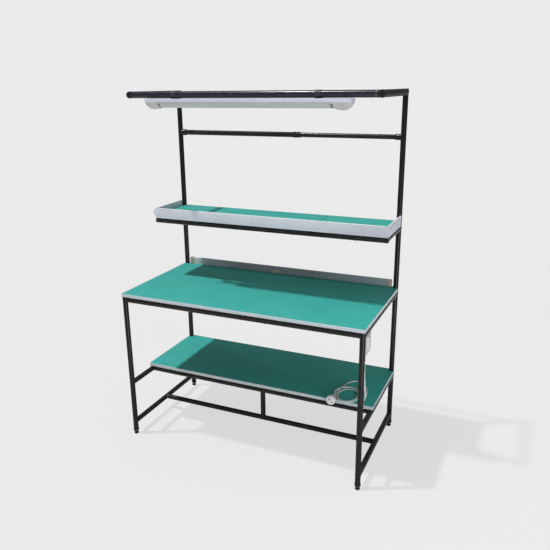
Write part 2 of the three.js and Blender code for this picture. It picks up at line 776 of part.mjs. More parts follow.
const coilSteps = (coilQuarters * coilStepsPerTurn) / 4;
const coilPoints = [];
for (let i = 0; i <= coilSteps; i += 1) {
  coilPoints.push(coilPoint((i * 4) / coilStepsPerTurn));
}
// The end comes down outside the coil to the plug
const coilLeft = coilPoints.at(-1).clone();
for (let i = 1; i <= coilExitSteps; i += 1) {
  const share = i / coilExitSteps;
  const eased = THREE.MathUtils.smoothstep(share, 0, 1);
  coilPoints.push(new THREE.Vector3(
    THREE.MathUtils.lerp(coilLeft.x, coilExitX, eased),
    THREE.MathUtils.lerp(coilLeft.y, coilExitY, share),
    THREE.MathUtils.lerp(coilLeft.z, plugZ, eased),
  ));
}
// Straight ends, square to the free stretch and to the plug's strain relief
const coilEntry = coilPoints[0].clone().addScaledVector(unit.y, -cordDiameter);
const coilExit = coilPoints.at(-1).clone().addScaledVector(unit.y, -cordDiameter);
coilPoints.unshift(coilEntry);
coilPoints.push(coilExit);

function leastGap(points, skip) {
  let least = Infinity;
  for (let i = 0; i < points.length; i += 1) {
    for (let j = i + skip; j < points.length; j += 1) {
      least = Math.min(least, points[i].distanceTo(points[j]));
    }
  }
  return least - cordDiameter;
}

const coilCurve = new THREE.CatmullRomCurve3(coilPoints);
const fine = coilCurve.getPoints(coilSteps * 10);
const coilGap = leastGap(fine, coilStepsPerTurn * 3);
const coilLength = coilCurve.getLength();
console.log(`coil: ${coilLength.toFixed(0)} mm long, least gap to itself ${coilGap.toFixed(2)} mm`);

place("cord_coil", sweep(coilPoints, coilSides, coilSteps), cordGrey);

const dropStart = new THREE.Vector3(cordExitX, cordExitY, glandTop - glandLength - seatGap);
const dropPoints = [dropStart, dropStart.clone().addScaledVector(unit.z, -cordDiameter)];
dropPoints.push(...cordDropPoints.map(([x, y, z]) => new THREE.Vector3(x, y, z)));
const dropEnd = coilEntry.clone().addScaledVector(unit.y, -seatGap);
dropPoints.push(dropEnd.clone().addScaledVector(unit.y, -cordDiameter), dropEnd);
const dropLength = new THREE.CatmullRomCurve3(dropPoints).getLength();
console.log(`free stretch: ${dropLength.toFixed(0)} mm long`);
place("cord_drop", sweep(dropPoints, cordSides, cordSteps), cordGrey);

// Plug, lying on the front edge of the lower shelf with its pins to the front

function plugForm() {
  const radius = plugDiameter / 2;
  const back = -plugLength;
  const profile = [[0, 0], [radius - edgeChamfer, 0], [radius, -edgeChamfer]];
  for (let i = 0; i <= plugRoundingSteps; i += 1) {
    const angle = (Math.PI / 2) * (i / plugRoundingSteps);
    profile.push([
      radius - plugRounding + plugRounding * Math.cos(angle),
      back + plugRounding - plugRounding * Math.sin(angle),
    ]);
  }
  profile.push([plugReliefDiameter / 2, back]);
  profile.push([plugReliefTipDiameter / 2, back - plugReliefLength]);
  profile.push([0, back - plugReliefLength]);
  const body = turned(profile.reverse(), plugSides);
  const pin = (diameter, length, x, z) =>
    turned([[0, -pinSeat], [diameter / 2, -pinSeat], [diameter / 2, length], [0, length]], pinSides)
      .translate(x, z, 0);
  return join(
    body,
    pin(pinDiameter, pinLength, -pinSpacing / 2, -pinSpacing / 4),
    pin(pinDiameter, pinLength, pinSpacing / 2, -pinSpacing / 4),
    pin(earthPinDiameter, earthPinLength, 0, earthPinSetback / 2),
  );
}

const plugFaceY = coilExit.y - seatGap - plugReliefLength - plugLength;
const plug = plugForm().rotateX(Math.PI / 2);
place("plug", plug, plugWhite, coilExit.x, plugFaceY, plugZ);

export default bench;
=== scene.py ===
import math
import bmesh
import bpy
from mathutils import Matrix, Vector


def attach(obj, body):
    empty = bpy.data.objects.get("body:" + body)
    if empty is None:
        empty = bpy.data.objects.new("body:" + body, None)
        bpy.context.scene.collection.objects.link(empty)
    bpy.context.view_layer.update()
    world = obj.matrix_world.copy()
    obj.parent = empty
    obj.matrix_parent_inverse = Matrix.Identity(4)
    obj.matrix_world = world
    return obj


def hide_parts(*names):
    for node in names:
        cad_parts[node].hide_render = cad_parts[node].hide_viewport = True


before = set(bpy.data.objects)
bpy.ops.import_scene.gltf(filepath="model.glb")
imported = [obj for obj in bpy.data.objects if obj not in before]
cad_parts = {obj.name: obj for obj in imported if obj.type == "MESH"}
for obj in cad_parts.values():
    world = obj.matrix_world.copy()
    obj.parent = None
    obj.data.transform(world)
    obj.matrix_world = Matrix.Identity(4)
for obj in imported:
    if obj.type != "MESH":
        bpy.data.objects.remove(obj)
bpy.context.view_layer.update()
scene = bpy.context.scene
axes = {"x": Vector((1, 0, 0)), "y": Vector((0, 1, 0)), "z": Vector((0, 0, 1))}
sides = {"left": -1, "right": 1}
print("frame loaded:", len(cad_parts), "nodes")


# a dictionary whose entries are also read as attributes
class sizeDict(dict):
    __getattr__ = dict.__getitem__


def addObject(name, data):
    made = bpy.data.objects.new(name, data)
    scene.collection.objects.link(made)
    return made


# camera, fitted to the picture; angles in degrees, focal length and middle in pixels
cameraSet = sizeDict(place=(1.19153, -2.53555, 1.70401), turn=24.208, dip=17.233, roll=-0.672,
                     focal=612.25, middle=(270.74, 275.23), picture=550, sensor=36)


def setCamera():
    c = cameraSet
    turn, dip, roll = (math.radians(c[k]) for k in ("turn", "dip", "roll"))
    lens = bpy.data.cameras.new("camera")
    lens.sensor_width = c.sensor
    lens.lens = c.focal * c.sensor / c.picture
    lens.shift_x = (c.picture / 2 - c.middle[0]) / c.picture
    lens.shift_y = (c.middle[1] - c.picture / 2) / c.picture
    camera = addObject("camera", lens)
    turns = ((turn, "Z"), (math.pi / 2 - dip, "X"), (roll, "Z"))
    camera.matrix_world = Matrix.Translation(c.place)
    for angle, axis in turns:
        camera.matrix_world @= Matrix.Rotation(angle, 4, axis)
    scene.camera = camera


setCamera()


def setInput(tree, socket, value):
    if isinstance(value, bpy.types.NodeSocket):
        tree.links.new(value, socket)
    else:
        socket.default_value = value


def addNode(tree, kind, inputs=None, **settings):
    made = tree.nodes.new(kind)
    for key, value in settings.items():
        setattr(made, key, value)
    for key, value in (inputs or {}).items():
        setInput(tree, made.inputs[key], value)
    return made


# adds a node and gives back one of its outputs
def wire(tree, kind, inputs=None, output=0, **settings):
    return addNode(tree, kind, inputs, **settings).outputs[output]


def maths(tree, operation, *values, clamp=False):
    return wire(tree, "ShaderNodeMath", dict(enumerate(values)), operation=operation, use_clamp=clamp)


def stretch(tree, vector, by):
    return wire(tree, "ShaderNodeVectorMath", {0: vector, 1: by}, operation="MULTIPLY")


def remap(tree, value, low, high, toLow=0.0, toHigh=1.0, **settings):
    ends = {"From Min": low, "From Max": high, "To Min": toLow, "To Max": toHigh}
    return wire(tree, "ShaderNodeMapRange", {"Value": value, **ends}, **settings)


def noise(tree, vector, scale, detail, rough=0.5, output="Fac"):
    inputs = {"Vector": vector, "Scale": scale, "Detail": detail, "Roughness": rough}
    return wire(tree, "ShaderNodeTexNoise", inputs, output)


def blendColour(tree, mask, low, high):
    inputs = {0: mask}
    for index, colour in ((6, low), (7, high)):
        inputs[index] = colour if isinstance(colour, bpy.types.NodeSocket) else (*colour, 1)
    return wire(tree, "ShaderNodeMix", inputs, 2, data_type="RGBA")


# a group that makes a mask out of a place; given holds its other inputs and their values
def maskGroup(name, given, build):
    group = bpy.data.node_groups.new(name, "ShaderNodeTree")
    group.interface.new_socket(name="Vector", in_out="INPUT", socket_type="NodeSocketVector")
    for title, value in given.items():
        kind = "NodeSocketVector" if isinstance(value, tuple) else "NodeSocketFloat"
        group.interface.new_socket(name=title, in_out="INPUT", socket_type=kind).default_value = value
    group.interface.new_socket(name="Mask", in_out="OUTPUT", socket_type="NodeSocketFloat")
    mask = build(group, group.nodes.new("NodeGroupInput").outputs)
    group.links.new(mask, group.nodes.new("NodeGroupOutput").inputs["Mask"])
    return group


def useMask(tree, group, place, **inputs):
    return wire(tree, "ShaderNodeGroup", {"Vector": place, **inputs}, "Mask", node_tree=group)


# rim and dust: detail and roughness of the noise; speck and scratch: its scale and detail;
# a span is the stretch of the noise that counts
maskSet = sizeDict(patchRough=0.6, rim=(5, 0.7), rimSpan=(0.42, 0.62), upSpan=(0.35, 1.0), dust=(6, 0.65),
                   dustSpan=(0.38, 0.75), speck=(900, 1), speckSpan=(0.3, 0.7, 0.55), scratch=(1, 2),
                   scratchSpan=(0.63, 0.72))


def softPatches(tree, given):
    field = noise(tree, given["Vector"], given["Scale"], given["Detail"], maskSet.patchRough)
    half = maths(tree, "MULTIPLY", given["Contrast"], 0.5)
    return remap(tree, field, maths(tree, "SUBTRACT", 0.5, half), maths(tree, "ADD", 0.5, half))


# the pieces carry the attribute rim, 1 on their rounded edges
def rubbedEdges(tree, given):
    rim = wire(tree, "ShaderNodeAttribute", output="Fac", attribute_name="rim")
    kept = remap(tree, noise(tree, given["Vector"], given["Scale"], *maskSet.rim), *maskSet.rimSpan)
    return maths(tree, "MULTIPLY", maths(tree, "MULTIPLY", rim, kept), given["Amount"], clamp=True)


# it lies on what faces up
def settledDust(tree, given):
    normal = wire(tree, "ShaderNodeNewGeometry", output="Normal")
    up = remap(tree, wire(tree, "ShaderNodeSeparateXYZ", {0: normal}, "Z"), *maskSet.upSpan)
    thick = remap(tree, noise(tree, given["Vector"], given["Scale"], *maskSet.dust), *maskSet.dustSpan)
    speck = remap(tree, noise(tree, given["Vector"], *maskSet.speck), *maskSet.speckSpan)
    lying = maths(tree, "MULTIPLY", maths(tree, "MULTIPLY", up, thick), speck)
    return maths(tree, "MULTIPLY", lying, given["Amount"], clamp=True)


# longer along one way
def fineScratches(tree, given):
    field = noise(tree, stretch(tree, given["Vector"], given["Stretch"]), *maskSet.scratch)
    return maths(tree, "MULTIPLY", remap(tree, field, *maskSet.scratchSpan), given["Amount"], clamp=True)


patches = maskGroup("patches", {"Scale": 10.0, "Detail": 4.0, "Contrast": 0.5}, softPatches)
rubbed = maskGroup("rubbedEdges", {"Scale": 60.0, "Amount": 0.4}, rubbedEdges)
dust = maskGroup("settledDust", {"Scale": 14.0, "Amount": 0.3}, settledDust)
scratches = maskGroup("fineScratches", {"Stretch": (40, 600, 600), "Amount": 0.3}, fineScratches)

# colour and tone are linear, rough is least and most; grain: bumps per metre; depth of the bumps in metres;
# dusty and bare: the colours where dust lies and where it is rubbed; zones: painted light and shade in bands,
# as axis, from, to, colour
usualFinish = sizeDict(level=0.4, metal=0, grain=900, depth=0.00003, pattern="stipple", dust=0.2, rubbed=0.4,
                       scratch=0.3, stretch=(300, 300, 300), zones=())


def finishOf(colour, tone, rough, **other):
    return sizeDict(usualFinish, colour=colour, tone=tone, rough=rough, **other)


finishes = {
    "blackPaint": finishOf((0.0082, 0.0084, 0.0092), (0.0122, 0.0125, 0.0136), (0.18, 0.3), level=0.2,
        grain=520, pattern="peel", dust=0.05, dusty=(0.06, 0.058, 0.056), rubbed=0.35,
        bare=(0.055, 0.056, 0.058), scratch=0.2, stretch=(300, 300, 24)),
    # tinted blue: a painted reflection of the white lamp below the bar
    "lampBarBlackPaintedReflection": finishOf((0.01, 0.012, 0.019), (0.015, 0.019, 0.032), (0.14, 0.26), level=0.35,
        grain=520, pattern="peel", dust=0.05, dusty=(0.06, 0.058, 0.066), rubbed=0.35,
        bare=(0.055, 0.058, 0.07), scratch=0.2, stretch=(24, 300, 300)),
    # pale metal for painted highlights: the ring on the lamp bar and the weld at the stretcher's left end
    "paleHighlightMetal": finishOf((0.12, 0.12, 0.125), (0.22, 0.22, 0.225), (0.3, 0.5), metal=0.6, depth=0.00005,
        pattern="spangle", dusty=(0.1, 0.095, 0.09), bare=(0.4, 0.4, 0.4)),
    "capPlastic": finishOf((0.006, 0.006, 0.0065), (0.01, 0.01, 0.011), (0.34, 0.5), level=0.25, grain=1500,
        dust=0.08, dusty=(0.08, 0.078, 0.075), bare=(0.05, 0.05, 0.05), scratch=0.2),
    "matGreen": finishOf((0.016, 0.35, 0.3), (0.036, 0.44, 0.388), (0.56, 0.76), level=0.55, depth=0.0001,
        pattern="pebble", dust=0.03, dusty=(0.3, 0.45, 0.42), rubbed=0.3, bare=(0.05, 0.46, 0.4),
        scratch=0.1, stretch=(60, 900, 900)),
    "edgingGrey": finishOf((0.46, 0.55, 0.6), (0.53, 0.62, 0.67), (0.3, 0.45), grain=700, depth=0.00004,
        pattern="brushed", dust=0.06, dusty=(0.5, 0.49, 0.47), bare=(0.68, 0.73, 0.74), scratch=0.25,
        stretch=(30, 30, 900)),
    # a darker copy of the worktop's edging, with darker dust: painted shade from the worktop above; more dust
    # lies on it too
    "shelfEdgingShadedGrey": finishOf((0.44, 0.515, 0.545), (0.5, 0.575, 0.605), (0.34, 0.5), grain=700,
        depth=0.00004, pattern="brushed", dust=0.15, dusty=(0.36, 0.35, 0.35), bare=(0.6, 0.65, 0.67),
        scratch=0.25, stretch=(30, 30, 900)),
    "lipGrey": finishOf((0.625, 0.65, 0.745), (0.69, 0.715, 0.81), (0.3, 0.46), grain=620, depth=0.00004,
        pattern="brushed", dust=0.08, dusty=(0.52, 0.51, 0.5), rubbed=0.45, bare=(0.76, 0.8, 0.82),
        stretch=(20, 20, 800),
        # painted shade: darker towards the right end; painted highlight: a pale line along the top edge
        zones=[("X", 0.1, 0.6, (0.55, 0.575, 0.65)), ("Z", 1.1138, 1.116, (0.8, 0.87, 0.87))]),
    "trunkingGrey": finishOf((0.205, 0.23, 0.262), (0.25, 0.275, 0.308), (0.34, 0.5), level=0.35, grain=800,
        depth=0.00004, pattern="brushed", dusty=(0.38, 0.37, 0.36), bare=(0.44, 0.47, 0.49),
        stretch=(24, 700, 700),
        # painted light and shade: paler from x -0.2 towards the left end, brightest at that end, and paler
        # again towards the right
        zones=[("X", -0.2, -0.44, (0.37, 0.43, 0.45)), ("X", 0.05, 0.45, (0.32, 0.385, 0.42)),
               ("X", -0.45, -0.54, (0.68, 0.72, 0.73))]),
    "trunkingBeige": finishOf((0.37, 0.35, 0.28), (0.44, 0.415, 0.335), (0.4, 0.58), level=0.35, grain=1400,
        depth=0.00004, dusty=(0.4, 0.37, 0.32), rubbed=0.35, bare=(0.62, 0.58, 0.48), scratch=0.2),
    "lampWhite": finishOf((0.61, 0.645, 0.78), (0.67, 0.705, 0.84), (0.24, 0.36), grain=560, depth=0.00004,
        pattern="peel", dusty=(0.45, 0.43, 0.41), rubbed=0.3, bare=(0.78, 0.78, 0.8), scratch=0.15,
        stretch=(30, 500, 500)),
    # painted light and shade: grey caps with a pale lavender band painted along their lit upper part
    "lampEndWhite": finishOf((0.47, 0.47, 0.455), (0.54, 0.54, 0.52), (0.24, 0.38), dusty=(0.42, 0.4, 0.37),
        rubbed=0.35, bare=(0.74, 0.74, 0.75), scratch=0.15,
        zones=[("Z", 1.6345, 1.6395, (0.64, 0.67, 0.79))]),
    "diffuserWhite": finishOf((0.44, 0.465, 0.44), (0.5, 0.525, 0.5), (0.24, 0.38), level=0.35, grain=500,
        pattern="brushed", dust=0.1, dusty=(0.44, 0.43, 0.4), rubbed=0.2, bare=(0.6, 0.61, 0.6),
        scratch=0.15, stretch=(20, 600, 600)),
    "glassWhite": finishOf((0.8, 0.8, 0.77), (0.86, 0.86, 0.84), (0.1, 0.2), level=0.5, grain=300,
        depth=0.00001, pattern="peel", dust=0.1, dusty=(0.5, 0.48, 0.44), rubbed=0.2, bare=(0.7, 0.7, 0.7),
        scratch=0.1, stretch=(20, 600, 600)),
    "boxGrey": finishOf((0.385, 0.4, 0.395), (0.435, 0.452, 0.445), (0.34, 0.48), grain=1500, dust=0.12,
        dusty=(0.44, 0.43, 0.4), rubbed=0.35, bare=(0.7, 0.71, 0.7), scratch=0.25),
    "rockerWhite": finishOf((0.72, 0.72, 0.7), (0.78, 0.78, 0.76), (0.18, 0.3), level=0.45, grain=1500,
        depth=0.00001, dust=0.05, dusty=(0.5, 0.48, 0.45), rubbed=0.3, bare=(0.84, 0.84, 0.82), scratch=0.2),
    "cordGrey": finishOf((0.6, 0.71, 0.71), (0.69, 0.79, 0.79), (0.36, 0.52), level=0.35, dust=0.08,
        dusty=(0.4, 0.41, 0.4), rubbed=0.2, bare=(0.68, 0.72, 0.73), scratch=0.2, stretch=(200, 200, 200)),
    "plugWhite": finishOf((0.8, 0.81, 0.87), (0.86, 0.87, 0.92), (0.3, 0.44), grain=1300, depth=0.00002,
        dust=0.05, dusty=(0.52, 0.51, 0.5), rubbed=0.35, bare=(0.86, 0.86, 0.89), scratch=0.2),
    "footBlack": finishOf((0.01, 0.01, 0.01), (0.018, 0.018, 0.018), (0.5, 0.7), level=0.25, grain=1100,
        depth=0.00006, dust=0.25, dusty=(0.1, 0.097, 0.092), rubbed=0.6, bare=(0.07, 0.068, 0.066)),
    "clipGrey": finishOf((0.12, 0.108, 0.11), (0.17, 0.155, 0.158), (0.32, 0.5), level=0.35,
        dusty=(0.2, 0.19, 0.18), rubbed=0.5, bare=(0.24, 0.23, 0.23)),
    "strapGrey": finishOf((0.014, 0.014, 0.019), (0.022, 0.022, 0.029), (0.3, 0.45), level=0.3, grain=620,
        pattern="peel", dust=0.12, dusty=(0.1, 0.098, 0.1), rubbed=0.5, bare=(0.08, 0.08, 0.1),
        stretch=(300, 30, 300)),
    "zinc": finishOf((0.3, 0.3, 0.295), (0.42, 0.42, 0.41), (0.24, 0.42), level=0.5, metal=0.95, grain=260,
        pattern="spangle", dust=0.15, dusty=(0.22, 0.21, 0.2), bare=(0.62, 0.62, 0.61),
        stretch=(300, 30, 300)),
    "plugBrass": finishOf((0.74, 0.72, 0.71), (0.82, 0.8, 0.79), (0.2, 0.36), level=0.5, metal=0.25,
        grain=700, depth=0.00002, pattern="brushed", dust=0.05, dusty=(0.25, 0.23, 0.2),
        bare=(0.82, 0.8, 0.78), scratch=0.35, stretch=(500, 40, 500)),
    "screwSteel": finishOf((0.1, 0.1, 0.1), (0.17, 0.17, 0.165), (0.26, 0.44), level=0.5, metal=0.8,
        pattern="spangle", dusty=(0.1, 0.09, 0.08), rubbed=0.5, bare=(0.4, 0.4, 0.39),
        stretch=(400, 400, 400)),
}
# the lamp's arms are duller than the rest of the frame
finishes["lampArmBlack"] = sizeDict(finishes["blackPaint"], rough=(0.40, 0.55), level=0.08)


layerSet = sizeDict(broad={"Scale": 7, "Detail": 5, "Contrast": 0.45},
                    small={"Scale": 160, "Detail": 3, "Contrast": 0.5}, smallShare=0.45, zoneGain=0.6,
                    dustRough=0.5, scratchRough=0.35, scratchDepth=-0.6, bump=0.6, pebbleFiner=2.4,
                    brush=(0.02, 0.02, 1.0), fineRough=0.45)


def bumpPattern(tree, vector, pattern, grain):
    if pattern == "pebble":
        cells = wire(tree, "ShaderNodeTexVoronoi", {"Vector": vector, "Scale": grain}, "Distance",
                     feature="SMOOTH_F1")
        return maths(tree, "ADD", cells, noise(tree, vector, grain * layerSet.pebbleFiner, 2))
    if pattern == "brushed":
        return noise(tree, stretch(tree, vector, layerSet.brush), grain * 2, 3)
    if pattern == "spangle":
        cells = wire(tree, "ShaderNodeTexVoronoi", {"Vector": vector, "Scale": grain}, "Color")
        return wire(tree, "ShaderNodeRGBToBW", {0: cells})
    return noise(tree, vector, grain * (2 if pattern == "stipple" else 1), 2, layerSet.fineRough)


def startMaterial(name):
    material = bpy.data.materials.new(name)
    material.use_nodes = True
    tree = material.node_tree
    return material, tree, wire(tree, "ShaderNodeTexCoord", output="Object")


# height is a socket; strength and depth are the bump's
def wireShader(tree, colour, rough, height, strength, depth):
    shader = tree.nodes["Principled BSDF"]
    bump = {"Height": height, "Strength": strength, "Distance": depth}
    for title, socket in (("Base Color", colour), ("Roughness", rough),
                          ("Normal", wire(tree, "ShaderNodeBump", bump))):
        tree.links.new(socket, shader.inputs[title])
    return shader


def makeFinish(name):
    f, s = finishes[name], layerSet
    material, tree, place = startMaterial(name)
    broad = useMask(tree, patches, place, **s.broad)
    small = useMask(tree, patches, place, **s.small)
    both = wire(tree, "ShaderNodeMix", {0: s.smallShare, 2: broad, 3: small}, data_type="FLOAT")
    worn = useMask(tree, rubbed, place, Amount=f.rubbed)
    lying = useMask(tree, dust, place, Amount=f.dust)
    lines = useMask(tree, scratches, place, Stretch=f.stretch, Amount=f.scratch)
    colour = blendColour(tree, both, f.colour, f.tone)
    colour = blendColour(tree, worn, colour, f.bare)
    colour = blendColour(tree, lying, colour, f.dusty)
    # painted light and shade: bands along an axis, a little uneven
    for axis, low, high, paintedColour in f.zones:
        along = wire(tree, "ShaderNodeSeparateXYZ", {0: place}, axis)
        inside = remap(tree, along, low, high, interpolation_type="SMOOTHSTEP")
        uneven = maths(tree, "MULTIPLY_ADD", inside, s.zoneGain, small)
        colour = blendColour(tree, maths(tree, "MULTIPLY", inside, uneven, clamp=True), colour, paintedColour)
    rough = maths(tree, "MULTIPLY_ADD", lying, s.dustRough, remap(tree, both, 0.0, 1.0, *f.rough))
    rough = maths(tree, "MULTIPLY_ADD", lines, s.scratchRough, rough, clamp=True)
    height = maths(tree, "MULTIPLY_ADD", lines, s.scratchDepth, bumpPattern(tree, place, f.pattern, f.grain))
    shader = wireShader(tree, colour, rough, height, s.bump, f.depth)
    shader.inputs["Metallic"].default_value = f.metal
    shader.inputs["Specular IOR Level"].default_value = f.level
    return material


boardSet = sizeDict(light=(0.20, 0.135, 0.115), middle=(0.125, 0.080, 0.076), dark=(0.062, 0.038, 0.040),
                    flakes=170, flakeStretch=(0.35, 1, 2.6), rough=(0.62, 0.85), depth=0.0004, dust=0.2,
                    dusty=(0.28, 0.25, 0.23), wander=90, wanderBy=(0.01, 0.01, 0.01), middleAt=0.45,
                    bump=0.5)


# pressed flakes of wood
def makeBoardFinish():
    b = boardSet
    material, tree, place = startMaterial("particleBoard")
    moved = stretch(tree, noise(tree, place, b.wander, 2, output="Color"), b.wanderBy)
    placed = wire(tree, "ShaderNodeVectorMath", {0: place, 1: moved}, operation="ADD")
    drawn = stretch(tree, placed, b.flakeStretch)
    cells = wire(tree, "ShaderNodeTexVoronoi", {"Vector": drawn, "Scale": b.flakes}, "Color")
    tint = wire(tree, "ShaderNodeRGBToBW", {0: cells})
    ramp = addNode(tree, "ShaderNodeValToRGB", {0: tint})
    ramp.color_ramp.elements[0].color = (*b.dark, 1)
    ramp.color_ramp.elements[1].color = (*b.light, 1)
    ramp.color_ramp.elements.new(b.middleAt).color = (*b.middle, 1)
    lying = useMask(tree, dust, place, Amount=b.dust)
    colour = blendColour(tree, lying, ramp.outputs["Color"], b.dusty)
    wireShader(tree, colour, remap(tree, tint, 0.0, 1.0, *b.rough), tint, b.bump, b.depth)
    return material


materials = {name: makeFinish(name) for name in finishes}
materials["particleBoard"] = makeBoardFinish()
print("finishes made:", len(materials))


# 1 where a vertex lies on a rounded edge, 0 on flats and on wide curves; low and high in degrees
def markRims(mesh, low=16, high=34):
    form = bmesh.new()
    form.from_mesh(mesh)
    form.normal_update()
    values = [0.0] * len(form.verts)
    for vertex in form.verts:
        turns = [edge.calc_face_angle(0) for edge in vertex.link_edges if len(edge.link_faces) == 2]
        bend = math.degrees(max(turns, default=0))
        values[vertex.index] = min(1.0, max(0.0, (bend - low) / (high - low)))
    form.free()
    mesh.attributes.new("rim", "FLOAT", "POINT").data.foreach_set("value", values)


def meshOf(name, form):
    mesh = bpy.data.meshes.new(name)
    form.to_mesh(mesh)
    form.free()
    return mesh


movingNodes = ("foot_", "lamp_tube", "switch_rocker")
dressedNodes = set()


# form is a bmesh or a mesh with its finish; the first piece of a node replaces it
def dress(node, part, form, finish="blackPaint", sharp=40):
    name = f"{node}_{part}"
    if isinstance(form, bmesh.types.BMesh):
        bmesh.ops.recalc_face_normals(form, faces=form.faces)
        form = meshOf(name, form)
        form.materials.append(materials[finish])
    form.shade_smooth()
    form.set_sharp_from_angle(angle=math.radians(sharp))
    markRims(form)
    piece = addObject(name, form)
    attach(piece, node if node.startswith(movingNodes) else "bench")
    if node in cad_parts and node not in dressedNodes:
        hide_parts(node)
        dressedNodes.add(node)
    return piece


# skins a row of rings; a ring of one vertex is a tip
def skinRings(form, rings, closed=False):
    for low, high in zip(rings, rings[1:] + (rings[:1] if closed else [])):
        count = max(len(low), len(high))
        for i in range(count):
            j = (i + 1) % count
            corners = (low[i % len(low)], low[j % len(low)], high[j % len(high)], high[i % len(high)])
            corners = list(dict.fromkeys(corners))
            if len(corners) > 2:
                form.faces.new(corners)


# a form turned about an axis; profile of (distance along it, radius); a closed profile makes a ring
def turnedForm(profile, origin, axis, count=40, closed=False, form=None):
    form = form or bmesh.new()
    axis = Vector(axis).normalized()
    side = axes["x"] if abs(axis.x) < 0.5 else axes["z"]
    side = (side - axis * side.dot(axis)).normalized()
    other = axis.cross(side)
    rings = []
    for far, radius in profile:
        middle = Vector(origin) + axis * far
        turns = [2 * math.pi * i / count for i in range(count)] if radius > 0 else [0]
        rings.append([form.verts.new(middle + (side * math.cos(a) + other * math.sin(a)) * radius)
                      for a in turns])
    skinRings(form, rings, closed)
    return form


# skins a row of like rings of points; the ends are closed by flat faces
def loftForm(rings, closed=False, form=None):
    form = form or bmesh.new()
    made = [[form.verts.new(p) for p in ring] for ring in rings]
    skinRings(form, made, closed)
    if not closed:
        form.faces.new(made[0][::-1])
        form.faces.new(made[-1])
    return form


def roundEdges(form, edges, rounding, steps):
    bmesh.ops.bevel(form, geom=list(edges), offset=rounding, offset_type="OFFSET", segments=steps,
                    profile=0.5, affect="EDGES", clamp_overlap=True)


# a slab over an outline of (x, y), its edges rounded
def slabForm(outline, bottom, top, rounding, steps=2, form=None):
    slab = loftForm([[(x, y, z) for x, y in outline] for z in (bottom, top)])
    roundEdges(slab, slab.edges, rounding, steps)
    if not form:
        return slab
    form.from_mesh(meshOf("slab", slab))
    return form


def boxForm(low, high, rounding, steps=2, form=None):
    outline = [(low[0], low[1]), (high[0], low[1]), (high[0], high[1]), (low[0], high[1])]
    return slabForm(outline, low[2], high[2], rounding, steps, form)


def splitWideFaces(form):
    bmesh.ops.triangulate(form, faces=[f for f in form.faces if len(f.verts) > 4])
    return form


# points of an arc round a middle, reach for either axis; angles in degrees
def arcPoints(middle, reach, start, sweep, steps):
    angles = [math.radians(start + sweep * i / steps) for i in range(steps + 1)]
    return [(middle[0] + reach[0] * math.cos(a), middle[1] + reach[1] * math.sin(a)) for a in angles]


# a profile from places, where a place may hold small steps taken from it
def profileOf(*places):
    points = []
    for x, y, *steps in places:
        points += [(x + a, y + b) for a, b in (steps[0] if steps else [(0, 0)])]
    return points


# profile of a solid bar; the steps are those at its edges, the end's like the start's unless given
def barProfile(start, end, radius, startSteps=((0, 0),), endSteps=None):
    endSteps = endSteps or [(-a, b) for a, b in reversed(startSteps)]
    return profileOf((start, 0), (start, radius, startSteps), (end, radius, endSteps), (end, 0))


# closed profile of a band
def bandProfile(start, end, inner, outer, edge):
    return [(start, inner), (start, outer - edge), (start + edge, outer), (end - edge, outer),
            (end, outer - edge), (end, inner)]


# ribs of a tapering strain relief; shape holds shares of the pitch and steps from the taper
def ribProfile(start, pitch, count, wide, tip, shape):
    points = []
    for i in range(count):
        for k, (share, step) in enumerate(shape):
            radius = wide + (tip - wide) * (i + k // 2) / count
            points.append((start + (i + share) * pitch, radius + step))
    return points


def geometryTree(name, inputs):
    tree = bpy.data.node_groups.new(name, "GeometryNodeTree")
    for title, kind in {"Geometry": "Geometry", **inputs, "Finish": "Material"}.items():
        tree.interface.new_socket(name=title, in_out="INPUT", socket_type=f"NodeSocket{kind}")
    tree.interface.new_socket(name="Geometry", in_out="OUTPUT", socket_type="NodeSocketGeometry")
    return tree, tree.nodes.new("NodeGroupInput").outputs


def endTree(tree, given, geometry):
    real = wire(tree, "GeometryNodeRealizeInstances", {"Geometry": geometry})
    painted = wire(tree, "GeometryNodeSetMaterial", {"Geometry": real, "Material": given["Finish"]})
    tree.links.new(painted, tree.nodes.new("NodeGroupOutput").inputs["Geometry"])
    return tree


# runs a tree on a mesh and gives the plain mesh that comes out
def runTree(tree, mesh, values):
    carrier = addObject("carrier", mesh)
    modifier = carrier.modifiers.new("nodes", "NODES")
    modifier.node_group = tree
    for item in tree.interface.items_tree:
        if item.in_out == "INPUT" and item.name in values:
            modifier[item.identifier] = values[item.name]
    bpy.context.view_layer.update()
    made = bpy.data.meshes.new_from_object(carrier.evaluated_get(bpy.context.evaluated_depsgraph_get()))
    bpy.data.objects.remove(carrier)
    return made


# the lead, laid first; all but its exit, diameter and length in mm
leadSet = sizeDict(
    diameter=0.007, exit=(0.583, -0.231, 0.5975), length=1.466,
    drop=[(583, -231, 588.5), (583, -229.5, 564), (583, -225, 531), (582.5, -216.5, 498), (581, -204, 466),
          (578.5, -187.5, 436), (574.5, -167, 407), (569, -144, 380), (562, -121, 355), (553.5, -100, 334),
          (548.5, -87.5, 324.8), (546, -74.3, 321.9), (546, -67.2, 321.9)],
    coilMiddle=(463, -60),
    coilReaches=[83, 150, 52, 66, 56, 60, 44, 58, 48, 66, 60],  # right, back, left, front and so on
    restHeight=321.9, crossHeight=329.5, climb=(7.8, 8.4), stepsPerQuarter=6,  # climb in quarters
    end=(408, -90, 324.9), endSteps=4, runOn=(7, 12))  # runs on into the plug's relief


def easeBetween(low, high, value):
    share = min(1.0, max(0.0, (value - low) / (high - low)))
    return share * share * (3 - 2 * share)


